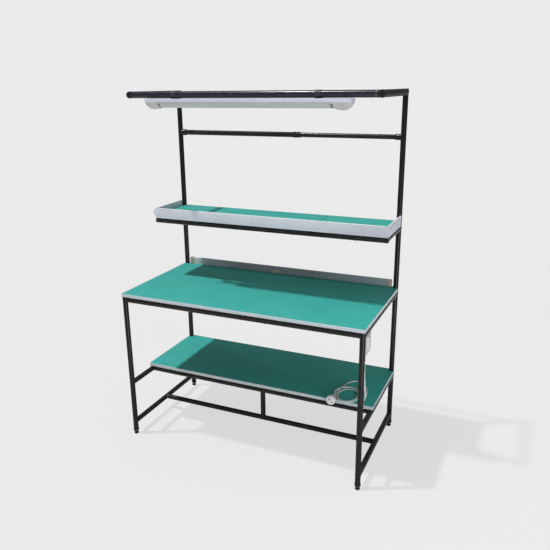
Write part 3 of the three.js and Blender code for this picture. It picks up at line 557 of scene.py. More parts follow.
def leadPoints():
    s = leadSet
    points = list(s.drop)
    quarters = len(s.coilReaches) - 1
    for i in range(quarters * s.stepsPerQuarter + 1):
        turn = i / s.stepsPerQuarter
        before = min(int(turn), quarters - 1)
        reachX, reachY = (s.coilReaches[before + (before + side) % 2] for side in (0, 1))
        height = s.restHeight + (s.crossHeight - s.restHeight) * easeBetween(*s.climb, turn)
        points.append((s.coilMiddle[0] + reachX * math.cos(turn * math.pi / 2),
                       s.coilMiddle[1] + reachY * math.sin(turn * math.pi / 2), height))
    left, end = Vector(points[-1]), Vector(s.end)
    for i in range(1, s.endSteps + 1):
        share = i / s.endSteps
        eased = easeBetween(0, 1, share)
        points.append([a + (b - a) * part for a, b, part in zip(left, end, (eased, share, eased))])
    points += [end - axes["y"] * far for far in s.runOn]
    return [Vector(s.exit)] + [Vector(p) / 1000 for p in points]


def makeLead():
    points = leadPoints()
    curve = bpy.data.curves.new("lead", "CURVE")
    curve.dimensions = "3D"
    curve.bevel_depth = leadSet.diameter / 2
    curve.bevel_resolution = 5
    curve.resolution_u = 6
    curve.use_fill_caps = True
    spline = curve.splines.new("BEZIER")
    spline.bezier_points.add(len(points) - 1)
    for knot, point in zip(spline.bezier_points, points):
        knot.co = point
        knot.handle_left_type = knot.handle_right_type = "AUTO"
    curve.materials.append(materials["cordGrey"])
    lead = addObject("lead", curve)
    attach(lead, "bench")
    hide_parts("cord_drop", "cord_coil")
    return lead


lead = makeLead()
print("lead laid")

# frame of round tube; the last five are small steps at the edges of a leg, along it and outwards
tubeSet = sizeDict(
    diameter=0.025, sides=48, legX=0.5875, legY=0.2875, legBottom=0.018, legTop=0.7414, postTop=1.684,
    rail=0.7289, shelf=0.287, shelfBarFront=-0.1045, low=0.069, tray=1.052, trayBarY=0.0385,
    trayBarEnd=0.5986, lampDiameter=0.030, lamp=1.669, lampBarY=-0.121, lampArmTip=-0.1346,
    lampArmShort=0.002, edge=0.0008, ferruleDiameter=0.028, ferruleHeight=0.013,
    bore=[(0, 0.0043), (0.0006, 0.0046), (0.0006, 0.0105), (0, 0.0109)],
    ferruleLow=[(0, -0.0012), (0.0004, -0.0004), (0.0012, 0)],
    ferruleHigh=[(-0.0016, 0), (-0.0005, -0.0005), (0, -0.0012)], ferruleEnd=[(0, 0.0001), (0.0004, 0)],
    legTip=[(-0.0012, 0), (-0.0003, -0.0004), (0, -0.0014)])
ringSet = sizeDict(x=0.564, width=0.0026, rise=0.0004, sink=0.0002, edge=0.0002)
beadSet = sizeDict(radius=0.0012, ripple=0.00020, pitch=0.0026, sides=6, steps=84, uneven=160)
beadLoops = []  # closed loops of points where one tube meets another
highlightLoops = []  # the same where the weld is drawn pale, a painted highlight


def tubePiece(name, start, end, diameter=tubeSet.diameter, endRound=(False, False), finish="blackPaint"):
    start, end = Vector(start), Vector(end)
    e, length = tubeSet.edge, (end - start).length
    startSteps, endSteps = ([(0, -e), (e, 0)] if cut else [(0, 0)] for cut in endRound)
    profile = barProfile(0, length, diameter / 2, startSteps, [(-a, b) for a, b in reversed(endSteps)])
    dress(name, "tube", turnedForm(profile, start, end - start, tubeSet.sides), finish)


# where a tube's end meets the side of the tube it is welded to
def noteWeld(point, way, hostAxis, branch=tubeSet.diameter, host=tubeSet.diameter, loops=beadLoops):
    hostR = host / 2
    branchR = min(branch, host) / 2
    out, along = Vector(way).normalized(), axes[hostAxis]
    side = out.cross(along)
    loop = []
    for i in range(beadSet.steps):
        turn = 2 * math.pi * i / beadSet.steps
        across = branchR * math.cos(turn)
        far = math.sqrt(max(hostR * hostR - across * across, 0))
        loop.append(Vector(point) + side * across + along * branchR * math.sin(turn) + out * far)
    loops.append(loop)


# a tube welded at both ends to tubes that run along the two axes in hosts; bare draws the weld at its start
# pale, a painted highlight
def weldedTube(name, start, end, hosts="zz", bare=False, wide=tubeSet.diameter, finish="blackPaint"):
    tubePiece(name, start, end, wide, finish=finish)
    way = Vector(end) - Vector(start)
    noteWeld(start, way, hosts[0], wide, wide, highlightLoops if bare else beadLoops)
    noteWeld(end, -way, hosts[1], wide, wide)


def makeLegs():
    t = tubeSet
    tubeR, ferruleR, rise = t.diameter / 2, t.ferruleDiameter / 2, t.ferruleHeight
    for kind, y, top in (("leg_front", -t.legY, t.legTop), ("post_back", t.legY, t.postTop)):
        length = top - t.legBottom
        profile = profileOf((0, 0), (0, 0, t.bore), (0, ferruleR, t.ferruleLow),
                            (rise, ferruleR, t.ferruleHigh), (rise, tubeR, t.ferruleEnd),
                            (length, tubeR, t.legTip), (length, 0))
        for side, sign in sides.items():
            form = turnedForm(profile, (sign * t.legX, y, t.legBottom), axes["z"], t.sides)
            dress(f"{kind}_{side}", "tube", form)


def makeRails():
    t = tubeSet
    x, y, wide = t.legX, t.legY, t.lampDiameter
    rail, shelf, low, tray, lamp = (t[k] for k in ("rail", "shelf", "low", "tray", "lamp"))
    for name, barY, z in (("rail_top_front", -y, rail), ("rail_top_back", y, rail),
                          ("shelf_bar_back", y, shelf), ("tray_bar_back", y, tray)):
        weldedTube(name, (-x, barY, z), (x, barY, z))
    for side, sign in sides.items():
        sideX = sign * x
        for name, z in (("rail_top", rail), ("rail_shelf", shelf), ("stretcher_low", low)):
            weldedTube(f"{name}_{side}", (sideX, -y, z), (sideX, y, z))
        weldedTube(f"tray_arm_{side}", (sideX, t.trayBarY, tray), (sideX, y, tray), "xz")
        tubePiece(f"lamp_arm_{side}", (sideX, t.lampArmTip, lamp), (sideX, y - t.lampArmShort, lamp), wide,
                  endRound=(True, False), finish="lampArmBlack")
        noteWeld((sideX, y, lamp), (0, -1, 0), "z", wide)
    weldedTube("shelf_bar_front", (-x, t.shelfBarFront, shelf), (x, t.shelfBarFront, shelf), "yy")
    # the pale weld at the stretcher's left end is a painted highlight
    weldedTube("stretcher_long", (-x, 0, low), (x, 0, low), "yy", bare=True)
    weldedTube("lamp_bar", (-x, t.lampBarY, lamp), (x, t.lampBarY, lamp), "yy", wide=wide,
               finish="lampBarBlackPaintedReflection")
    weldedTube("shelf_bearer", (0, t.shelfBarFront, shelf), (0, y, shelf), "xx")
    weldedTube("centre_post", (0, 0, low), (0, 0, shelf), "xy")
    e = t.trayBarEnd
    tubePiece("tray_bar_front", (-e, t.trayBarY, tray), (e, t.trayBarY, tray), endRound=(True, True))


# the beads follow the loops, with the small ripples of a welded seam
def beadTree():
    tree, given = geometryTree("weldBeads", {"Radius": "Float", "Ripple": "Float", "Pitch": "Float",
                                             "Uneven": "Float", "Sides": "Int"})
    curve = wire(tree, "GeometryNodeMeshToCurve", {"Mesh": given["Geometry"]})
    along = wire(tree, "GeometryNodeSplineParameter", output="Length")
    turn = maths(tree, "MULTIPLY", maths(tree, "DIVIDE", along, given["Pitch"]), 2 * math.pi)
    uneven = noise(tree, wire(tree, "GeometryNodeInputPosition"), given["Uneven"], 1)
    swell = maths(tree, "ADD", maths(tree, "SINE", turn), uneven)
    radius = maths(tree, "MULTIPLY_ADD", swell, given["Ripple"], given["Radius"])
    profile = wire(tree, "GeometryNodeCurvePrimitiveCircle", {"Resolution": given["Sides"], "Radius": 1.0})
    swept = wire(tree, "GeometryNodeCurveToMesh",
                 {"Curve": curve, "Profile Curve": profile, "Scale": radius})
    return endTree(tree, given, swept)


def makeBeads(part, loops, finish):
    mesh = bpy.data.meshes.new("seams")
    points, edges = [], []
    for loop in loops:
        first = len(points)
        points += loop
        edges += [(first + i, first + (i + 1) % len(loop)) for i in range(len(loop))]
    mesh.from_pydata(points, edges, [])
    values = {key.capitalize(): value for key, value in beadSet.items()}
    values["Finish"] = materials[finish]
    dress("weld", part, runTree(beadTree(), mesh, values), finish)


# the pale ring near the lamp bar's right end, a painted highlight
def makeBarRing():
    r, t = ringSet, tubeSet
    bar, half = t.lampDiameter / 2, r.width / 2
    profile = bandProfile(-half, half, bar - r.sink, bar + r.rise, r.edge)
    form = turnedForm(profile, (r.x, t.lampBarY, t.lamp), axes["x"], t.sides, closed=True)
    dress("lamp_bar", "ring", form, "paleHighlightMetal")


# plastic caps in the open tube ends; plug and flange are small steps, from the bore's and the rim's radius
capSet = sizeDict(wall=0.0017, reach=0.010, plug=[(-0.010, -0.0006), (-0.0094, 0), (0, 0)],
                  flange=[(0, -0.0002), (0.0003, 0), (0.0005, 0), (0.0010, -0.0006)], dome=(0.00121, 0.6),
                  top=0.0013)


def makeTubeCaps():
    c, t = capSet, tubeSet
    form = bmesh.new()
    for sign in sides.values():
        for diameter, place, facing in ((t.diameter, (sign * t.trayBarEnd, t.trayBarY, t.tray), (sign, 0, 0)),
                                        (t.lampDiameter, (sign * t.legX, t.lampArmTip, t.lamp), (0, -1, 0))):
            r = diameter / 2
            profile = profileOf((-c.reach, 0), (0, r - c.wall, c.plug), (0, r, c.flange),
                                (c.dome[0], r * c.dome[1]), (c.top, 0))
            turnedForm(profile, place, facing, form=form)
    dress("tube_end", "caps", form, "capPlastic")


makeLegs()
makeRails()
makeBeads("beads", beadLoops, "blackPaint")
makeBeads("bead_bare", highlightLoops, "paleHighlightMetal")
makeBarRing()
makeTubeCaps()
print("frame made:", len(beadLoops), "welds")

# levelling feet; padLow, padHigh and nutEdge are small steps, along the foot and outwards
footSet = sizeDict(
    pad=0.022, height=0.015, stem=0.008, stemTop=0.053, nutAcross=0.0128, nutSides=6, nutHeight=0.0045,
    threadPitch=0.00125, threadDepth=0.00045, threadStart=0.0002, stemSides=20,
    padLow=[(0, -0.0025), (0.0004, -0.0012), (0.0014, -0.0002), (0.0022, 0), (0.0058, 0), (0.0066, -0.0003),
            (0.0078, -0.0015)],
    padHigh=[(-0.0006, -0.0032), (0, -0.0040)], nutEdge=[(0, -0.0006), (0.00036, 0)])


def threadRings(low, high, radius, pitch, depth):
    rings, z = [], low
    while z + pitch <= high + pitch * 1e-6:
        rings += [(z, radius - depth), (z + pitch * 0.5, radius)]
        z += pitch
    return rings + [(high, radius - depth)]


def makeFeet():
    f = footSet
    nutLow = f.height - f.nutHeight
    pad = barProfile(0, nutLow, f.pad / 2, f.padLow, f.padHigh)
    nut = barProfile(nutLow, f.height, f.nutAcross / 2 / math.cos(math.pi / f.nutSides), f.nutEdge)
    thread = threadRings(nutLow + f.threadStart, f.stemTop, f.stem / 2, f.threadPitch, f.threadDepth)
    for front, y in (("front", -tubeSet.legY), ("back", tubeSet.legY)):
        for side, sign in sides.items():
            name, place = f"foot_{front}_{side}", (sign * tubeSet.legX, y, 0)
            form = turnedForm(nut, place, axes["z"], f.nutSides)
            turnedForm([(nutLow, 0), *thread, (f.stemTop, 0)], place, axes["z"], f.stemSides, form=form)
            dress(name, "stem", form, "screwSteel", sharp=28)
            dress(name, "pad", turnedForm(pad, place, axes["z"]), "footBlack")


makeFeet()
print("feet made")

# boards, mats, edging and lips
topSet = sizeDict(
    half=0.6, notchX=0.5745, notchY=0.2745, back=0.3, edging=0.002, edgingHeight=0.0155, gap=0.0003,
    board=0.016, mat=0.002, matRound=0.0007, edgeRound=0.0008, cornerRound=0.004, cornerSteps=6,
    edgeShares=(0.3, 0.5))
decks = {
    "worktop": sizeDict(front=-0.3, bottom=0.7417, edging="edgingGrey"),
    "shelf": sizeDict(front=-0.117, bottom=0.2998, edging="shelfEdgingShadedGrey"),
}
# nose is the rounded end of the front lip: height, lift from the lip's bottom, reach past the side
# seams: the mat's gap at -0.360 is a dark line standing in for the lamp arm's shadow, painted shade; the gap
# at 0.241 is a joint
traySet = sizeDict(front=0.026, lip=0.008, lipHeight=0.052, bottom=1.0648, board=0.020, seams=(-0.360, 0.241),
                   seamWidth=0.0030, sideGap=0.0022, lipRound=0.0020, lipSteps=3, nose=(0.031, 0.0145, 0.011),
                   noseFrom=-65, noseSteps=14, cornerCut=0.010)


# an outline with the notches for the posts at either back corner that it reaches
def notched(low, high, front):
    s = topSet
    points = [(low, front), (high, front)]
    for sign, x in ((1, high), (-1, low)):
        if abs(x) > s.notchX:
            points += [(x, s.notchY), (sign * s.notchX, s.notchY), (sign * s.notchX, s.back)][::sign]
        else:
            points.append((x, s.back))
    return points


# an upright strip round the front and the sides, its corners rounded in plan
def makeEdging(name, front, bottom, top, finish):
    s = topSet
    outer, thick, r, e = s.half, s.edging, s.cornerRound, s.edgeRound
    low, high = (e * share for share in s.edgeShares)
    corner = arcPoints((0, 0), (1, 1), 180, 90, s.cornerSteps)
    left = [(-outer, s.notchY, -1, 0)]
    left += [(-outer + r + r * x, front + r + r * y, x, y) for x, y in corner]
    line = left + [(-x, y, -nx, ny) for x, y, nx, ny in reversed(left)]
    section = profileOf((0, bottom, [(0, e), (low, low), (e, 0)]), (thick, bottom),
                        (thick, top, [(0, -high), (-high, 0)]),
                        (0, top, [(e, 0), (low, -low), (0, -e)]))
    form = loftForm([[(x - nx * inward, y - ny * inward, z) for inward, z in section]
                     for x, y, nx, ny in line])
    dress(f"{name}_edging", "strip", form, finish)


def makeDecks():
    s = topSet
    inner = s.half - s.edging - s.gap
    for name, deck in decks.items():
        low = deck.bottom + s.board + s.gap
        top = low + s.mat
        form = slabForm(notched(-inner, inner, deck.front + s.edging + s.gap), low, top, s.matRound)
        dress(f"{name}_mat", "sheet", form, "matGreen")
        makeEdging(name, deck.front, top - s.edgingHeight, top, deck.edging)


# drawn as seen from the front, with a rounded nose at each end
def makeFrontLip():
    half, t = topSet.half, traySet
    noseHeight, noseLift, noseReach = t.nose
    r = noseHeight / 2
    nose = (half + noseReach - r, noseLift + r)
    right = [(half, 0), (half, noseLift)]
    right += arcPoints(nose, (r, r), t.noseFrom, 90 - t.noseFrom, t.noseSteps)
    right += [(nose[0] - t.cornerCut, t.lipHeight)]
    outline = right + [(-x, z) for x, z in reversed(right)]
    form = loftForm([[(x, y, t.bottom + z) for x, z in outline] for y in (t.front, t.front + t.lip)])
    edges = [edge for face in form.faces if len(face.verts) > 4 for edge in face.edges]
    roundEdges(form, edges, t.lipRound, t.lipSteps)
    dress("tray_lip_front", "bar", splitWideFaces(form), "lipGrey")


def makeTray():
    s, t = topSet, traySet
    inner, bottom = s.half - t.lip - s.gap, t.bottom
    matLow = bottom + t.board + s.gap
    form = bmesh.new()
    cuts = [-inner, *t.seams, inner]
    for left, right in zip(cuts, cuts[1:]):
        low = left + (t.seamWidth / 2 if left in t.seams else 0)
        high = right - (t.seamWidth / 2 if right in t.seams else 0)
        outline = notched(low, high, t.front + t.lip + s.gap)
        slabForm(outline, matLow, matLow + s.mat, s.matRound, form=form)
    dress("tray_mat", "sheets", form, "matGreen")
    makeFrontLip()
    for side, sign in sides.items():
        x0, x1 = sorted((sign * s.half, sign * (s.half - t.lip)))
        form = boxForm((x0, t.front + t.lip + t.sideGap, bottom), (x1, s.notchY, bottom + t.lipHeight),
                       t.lipRound, t.lipSteps)
        dress(f"tray_lip_{side}", "bar", form, "lipGrey")


makeDecks()
makeTray()
for name in ("worktop_board", "shelf_board", "tray_board"):
    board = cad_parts[name]
    board.data.materials.clear()
    board.data.materials.append(materials["particleBoard"])
print("decks made")

# cable trunking; capEnd holds places along a cap and how much it has drawn in there
trunkSet = sizeDict(half=0.541, y=0.2907, depth=0.017, low=0.7603, height=0.034, gap=0.0003, capLip=0.0008,
                    capRound=0.004, capSteps=6, pieces=24,
                    capEnd=[(0, 0.0004), (0.0005, 0), (0.022, 0), (0.0236, 0.0005), (0.0246, 0.0014),
                            (0.025, 0.0028)])
# side, height, small steps; the lid snaps on over the front, between two fine grooves
trunkOutline = [
    (-1, 0, [(0.0012, 0), (0.00036, 0.00036), (0.0006, 0.0012)]),
    (-1, 0.0065, [(0.0006, -0.0007), (0.0013, -0.0007), (0.0013, 0), (0, 0.0004)]),
    (-1, 0.0275, [(0, -0.0004), (0.0013, 0), (0.0013, 0.0007), (0.0006, 0.0007)]),
    (-1, 0.034, [(0.0006, -0.0012), (0.00108, -0.00036), (0.0018, 0)]),
    (1, 0.034, [(-0.0012, 0), (-0.00036, -0.00036), (0, -0.0012)]),
    (1, 0, [(0, 0.0012), (-0.00036, 0.00036), (-0.0012, 0)]),
]
clipSet = sizeDict(left=-0.072, right=-0.030, low=0.7610, high=0.7785, thick=0.0022, sink=0.0004,
                   round=0.0008)


def makeTrunking():
    t, c = trunkSet, clipSet
    section = profileOf(*((t.y + side * t.depth / 2, t.low + height, steps)
                          for side, height, steps in trunkOutline))
    places = [t.half * (2 * i / t.pieces - 1) for i in range(t.pieces + 1)]
    form = loftForm([[(x, y, z) for y, z in section] for x in places])
    dress("trunking", "length", form, "trunkingGrey")
    front = t.y - t.depth / 2
    form = boxForm((c.left, front - c.thick, c.low), (c.right, front + c.sink, c.high), c.round)
    dress("trunking", "clip", form, "trunkingBeige")


def makeTrunkingCaps():
    t = trunkSet
    half, top, r = t.depth / 2 + t.capLip, t.low + t.height + t.capLip, t.capRound
    section = [(-half, t.low), (half, t.low)]
    for middleY, start in ((half - r, 0), (r - half, 90)):
        section += arcPoints((middleY, top - r), (r, r), start, 90, t.capSteps)
    middle = (t.low + top) / 2
    for side, sign in sides.items():
        rings = []
        for far, inset in t.capEnd:
            shrinkY, shrinkZ = 1 - inset / half, 1 - inset / (t.height / 2)
            rings.append([(sign * (t.half + t.gap + far), t.y + y * shrinkY,
                           max(middle + (z - middle) * shrinkZ, t.low)) for y, z in section])
        dress(f"trunking_cap_{side}", "end", loftForm(rings), "trunkingBeige")


makeTrunking()
makeTrunkingCaps()
print("trunking made")

# lamp; shift is its middle from the middle of the bench, endTop small steps at the caps' upper edges
lampSet = sizeDict(
    y=-0.121, top=1.6520, shift=-0.0125, half=0.4075, width=0.070, gap=0.0003,
    housing=0.014, housingRound=0.0022, housingSteps=5, housingWall=0.0015, housingFoot=(0.0003, 0.0004),
    skirt=0.003, drop=0.022, wall=0.002, ribs=0.00025, ribSteps=96, wallSteps=24,
    endLength=0.075, endLip=0.0008, endSwell=0.0065, endRounding=0.030, endNarrowing=0.72, endShallowing=0.34,
    endPieces=6, endSteps=12, arcSteps=28, endTop=[(-0.0022, 0), (-0.0007, -0.0006), (0, -0.0022)],
    endLap=(0.0006, 0.006),  # along the cap and how far it has drawn in at its mouth
    tube=0.026, tubeDepth=0.023, tubeReach=0.040, tubeSides=32, capLength=0.018, capLap=0.002,
    glassEdge=[(0, -0.0004), (0.0004, 0)], capStart=[(0, -0.0001)],
    capTip=[(-0.004, -0.0001), (-0.0012, -0.0012), (0, -0.004)])
strapSet = sizeDict(setback=0.068, width=0.026, bore=0.0153, wall=0.0015, foot=0.036, sole=0.0014,
                    edge=0.0003, sides=48)
# the clips that hold the diffuser at its ends; arc is what they cover of its underside, in degrees
lampClipSet = sizeDict(width=0.009, inset=0.0035, lift=0.0001, thick=0.0009, arc=(118, 172), steps=12)


def lampRings(section):
    s = lampSet
    return [[(s.shift + x, s.y + y, z) for y, z in section] for x in (-s.half, 0, s.half)]


def makeHousing():
    s = lampSet
    half, low, top, r, w = s.width / 2, s.top - s.housing, s.top, s.housingRound, s.housingWall
    inward, up = s.housingFoot
    section = [(-half + inward, low), (-half, low + up)]
    section += arcPoints((-half + r, top - r), (r, r), 180, -90, s.housingSteps)
    section += arcPoints((half - r, top - r), (r, r), 90, -90, s.housingSteps)
    section += [(half, low + up), (half - inward, low), (half - w, low), (half - w, top - w),
                (-half + w, top - w), (-half + w, low)]
    dress("lamp_housing", "tray", loftForm(lampRings(section)), "lampWhite")


# fine lengthwise ribs on the lower, curved part
def makeDiffuser():
    s = lampSet
    half, top, w = s.width / 2, s.top - s.housing - s.gap, s.wall
    low = top - s.skirt
    section = [(half, top), (half, low)]
    for i in range(1, s.ribSteps):
        a = math.pi * i / s.ribSteps
        rib = s.ribs * (0.5 - 0.5 * math.cos(math.pi * i / 2))
        section.append(((half - rib) * math.cos(a), low - (s.drop - rib) * math.sin(a)))
    section += [(-half, low), (-half, top), (-half + w, top), (-half + w, low)]
    section += arcPoints((0, low), (half - w, w - s.drop), 180, -180, s.wallSteps)[1:-1]
    section += [(half - w, low), (half - w, top)]
    form = splitWideFaces(loftForm(lampRings(section)))
    dress("lamp_diffuser", "cover", form, "diffuserWhite", sharp=50)


def makeLampEnds():
    s = lampSet
    half = s.width / 2 + s.endLip
    skirt = s.housing + s.gap + s.skirt + s.endLip
    straight = s.endLength - s.endRounding
    stations = [(0, s.endLap[1]), (s.endLap[0], 0)]
    stations += [(straight * i / s.endPieces, 0) for i in range(1, s.endPieces)]
    for i in range(s.endSteps + 1):
        share = math.sin(math.pi / 2 * i / s.endSteps)
        stations.append((straight + s.endRounding * share, 1 - math.sqrt(1 - share * share)))
    right = profileOf((half, 0, s.endTop))
    left = [(-y, z) for y, z in reversed(right)]
    for side, sign in sides.items():
        rings = []
        for far, away in stations:
            width = 1 - (1 - s.endNarrowing) * away
            deep = 1 - (1 - s.endShallowing) * away
            drop = s.drop + s.endSwell * math.sin(math.pi * far / s.endLength)
            section = right + arcPoints((0, -skirt), (half, -drop), 0, 180, s.arcSteps) + left
            x = s.shift + sign * (s.half + s.gap + far)
            rings.append([(x, s.y + y * width, s.top + z * deep) for y, z in section])
        dress(f"lamp_end_{side}", "cap", splitWideFaces(loftForm(rings)), "lampEndWhite",
                    sharp=35)


def makeLampClips():
    s, c = lampSet, lampClipSet
    base = s.top - s.housing - s.gap - s.skirt
    start, end = c.arc
    inner, outer = (arcPoints((s.y, base), (s.width / 2 + out, -s.drop - out), start, end - start, c.steps)
                    for out in (c.lift, c.lift + c.thick))
    form = bmesh.new()
    for sign in sides.values():
        x = s.shift + sign * (s.half - c.inset)
        x0, x1 = x - c.width / 2, x + c.width / 2
        loftForm([[(x0, *a), (x1, *a), (x1, *b), (x0, *b)] for a, b in zip(inner, outer)], form=form)
    dress("lamp_diffuser", "clips", form, "clipGrey")


def makeLampTube():
    s = lampSet
    r, half = s.tube / 2, s.half + s.tubeReach
    place = (s.shift, s.y, s.top - s.tubeDepth)
    glass = half - s.capLength
    form = turnedForm(barProfile(-glass, glass, r, s.glassEdge), place, axes["x"], s.tubeSides)
    dress("lamp_tube", "glass", form, "glassWhite")
    form = bmesh.new()
    profile = barProfile(glass - s.capLap, half, r, s.capStart, s.capTip)
    for sign in sides.values():
        turnedForm(profile, place, (sign, 0, 0), s.tubeSides, form=form)
    dress("lamp_tube", "caps", form, "zinc")


# a band round the lamp bar, standing on the housing by a flat sole
def makeStraps():
    s, c = lampSet, strapSet
    low, foot = s.top + s.gap, c.foot / 2
    profile = bandProfile(0, c.width, c.bore, c.bore + c.wall, c.edge)
    for side, sign in sides.items():
        x = s.shift + sign * (s.half - c.setback) - c.width / 2
        form = turnedForm(profile, (x, s.y, tubeSet.lamp), axes["x"], c.sides, closed=True)
        boxForm((x, s.y - foot, low), (x + c.width, s.y + foot, low + c.sole), c.edge, 1, form)
        dress(f"lamp_strap_{side}", "band", form, "strapGrey")


makeHousing()
makeDiffuser()
makeLampEnds()
makeLampClips()
makeLampTube()
makeStraps()
print("lamp made")

# tool bar between the posts; pinch is a shallow groove round the collar
barSet = sizeDict(height=1.474, y=0.2875, end=0.5707, thick=0.025, thin=0.022, collar=0.028, collarLeft=0.051,
                  collarRight=0.089, collarEdge=0.0006, collarRoot=[(-0.001, 0), (0, 0.0002)],
                  pinchFrom=0.009, pinch=[(-0.0012, 0), (-0.0006, -0.0005), (0.0006, -0.0005), (0.0012, 0)],
                  mouth=0.0003, mouthDepth=0.004, thinOverlap=0.012, socketWall=0.0026, socketLength=0.0365,
                  gap=0.0003, sides=48, socketEdge=[(-0.0026, 0), (-0.0008, -0.0005), (0, -0.0014)])


def makeToolBar():
    b = barSet
    place = (0, b.y, b.height)
    thick, thin, collar, e = b.thick / 2, b.thin / 2, b.collar / 2, b.collarEdge
    left, right, mouth = b.collarLeft, b.collarRight, b.thin / 2 + b.mouth
    profile = profileOf(
        (-b.end, 0), (-b.end, thick), (left, thick, b.collarRoot), (left, collar, [(0, -e), (e, 0)]),
        (left + b.pinchFrom, collar, b.pinch), (right - b.pinchFrom, collar, b.pinch),
        (right, collar, [(-e, 0), (0, -e)]), (right, mouth), (right - b.mouthDepth, mouth),
        (right - b.mouthDepth, 0))
    for kind, line in (("thick", profile), ("thin", barProfile(right - b.thinOverlap, b.end, thin))):
        form = turnedForm(line, place, axes["x"], b.sides)
        dress(f"tool_bar_{kind}", "length", form)
    end, inside = b.socketLength, b.socketLength - b.mouthDepth
    for side, radius in (("left", thick), ("right", thin)):
        sign, bore = sides[side], radius + b.gap
        outer = bore + b.socketWall
        profile = profileOf((0, 0), (0, outer), (end, outer, b.socketEdge), (end, bore), (inside, bore),
                            (inside, 0))
        form = turnedForm(profile, (sign * tubeSet.legX, *place[1:]), (-sign, 0, 0), b.sides)
        dress(f"tool_bar_socket_{side}", "cup", form)


makeToolBar()
print("tool bar made")

# switch box; shell: place along X, inset, corner; cover: place along X, edge or window, growth, corner
boxSet = sizeDict(
    half=0.043, cornerSteps=5, left=0.5728, plateLeft=0.59207, plateFront=0.59607, y=-0.2317, z=0.6731,
    shell=[(0, 0.0016, 0.003), (0.0005, 0.0005, 0.003), (0.0016, 0, 0.003), (0.019, 0, 0.003),
           (0.019, 0.0024, 0.0015), (0.0024, 0.0024, 0.0015)],
    cover=[(0, "window", 0, 0.0012), (0, "edge", 0, 0.003), (0.0022, "edge", 0, 0.003),
           (0.0034, "edge", -0.0005, 0.003), (0.004, "edge", -0.0018, 0.003),
           (0.004, "window", 0.0022, 0.0024), (0.0032, "window", 0.0014, 0.0018),
           (0.0030, "window", 0, 0.0012)])
# edge holds small steps at the key's top and bottom, sides at its left and right
rockerSet = sizeDict(wide=0.038, tall=0.060, thick=0.006, crown=0.0008, crownPower=0.8, x=0.59407, tilt=3.5,
                     clearance=0.0008, steps=16, edge=[(-0.0008, 0), (-0.0002, 0.0003)],
                     sides=[(0, 0.0007), (0.0002, 0.0002), (0.0007, 0)])


# a ring of points round a rounded rectangle that faces +X
def plateRing(x, halfY, halfZ, r):
    points = []
    for k, (sy, sz) in enumerate(((1, 1), (-1, 1), (-1, -1), (1, -1))):
        middle = (boxSet.y + sy * (halfY - r), boxSet.z + sz * (halfZ - r))
        points += arcPoints(middle, (r, r), 90 * k, 90, boxSet.cornerSteps)
    return [(x, y, z) for y, z in points]


def makeBox():
    b, k = boxSet, rockerSet
    half = b.half
    form = loftForm([plateRing(b.left + far, half - inset, half - inset, r) for far, inset, r in b.shell])
    dress("switch_box", "shell", form, "boxGrey")
    bases = {"edge": (half, half), "window": (k.wide / 2 + k.clearance, k.tall / 2 + k.clearance)}
    rings = []
    for far, base, growth, r in b.cover:
        rings.append(plateRing(b.plateLeft + far, *(size + growth for size in bases[base]), r))
    dress("switch_plate", "cover", loftForm(rings, closed=True), "boxGrey")


# drawn switched off
def makeRocker():
    b, k = boxSet, rockerSet
    thick, tall, wide = k.thick / 2, k.tall / 2, k.wide / 2
    low = profileOf((-thick, -tall), (thick, -tall, k.edge))
    middle = []
    for i in range(1, k.steps):
        share = 2 * i / k.steps - 1
        middle.append((thick + k.crown * (1 - abs(share)) ** k.crownPower, share * tall))
    outline = low + middle + [(x, -z) for x, z in reversed(low)]
    ends = [(-wide + far, inset) for far, inset in k.sides]
    ends += [(-y, inset) for y, inset in reversed(ends)]
    turnBack = Matrix.Rotation(math.radians(-k.tilt), 4, "Y")
    place = Vector((k.x, b.y, b.z))
    rings = [[turnBack @ Vector((x - inset if x > 0 else x, y, z * (1 - inset / tall))) + place
              for x, z in outline] for y, inset in ends]
    dress("switch_rocker", "key", splitWideFaces(loftForm(rings)), "rockerWhite")


# gland of the lead; ribs: shares of the pitch and small steps from the taper
glandSet = sizeDict(x=0.583, y=-0.231, top=0.6298, nut=0.015, nutSides=6, nutHeight=0.008, sides=32,
                    taper=0.026, tip=0.0095, ribs=6, nutLow=[(0, 0), (0.0004, 0.0002)],
                    nutHigh=[(-0.0012, 0.0002), (0, -0.0012)], lap=0.001, neck=0.0015,
                    ribShape=[(0.08, 0), (0.55, -0.0001), (0.66, -0.0008), (0.92, -0.0008)],
                    tipEdge=[(-0.0004, 0), (0, -0.0004)], mouth=[(0, 0.0001), (-0.003, 0)])


def makeGland():
    g = glandSet
    place, down = (g.x, g.y, g.top), (0, 0, -1)
    start, nut, tip = g.nutHeight, g.nut / 2, g.tip / 2
    neck, end = nut - g.neck, start + g.taper
    form = turnedForm(barProfile(0, start, nut, g.nutLow, g.nutHigh), place, down, g.nutSides)
    profile = [(start - g.lap, 0), (start - g.lap, neck)]
    profile += ribProfile(start, g.taper / g.ribs, g.ribs, neck, tip, g.ribShape)
    profile += profileOf((end, tip, g.tipEdge), (end, leadSet.diameter / 2, g.mouth))
    profile.append((profile[-1][0], 0))
    turnedForm(profile, place, down, g.sides, form=form)
    piece = dress("lead", "gland", form, "cordGrey", sharp=30)
    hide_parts("cord_gland")
    return piece


makeBox()
makeRocker()
gland = makeGland()
print("switch made")

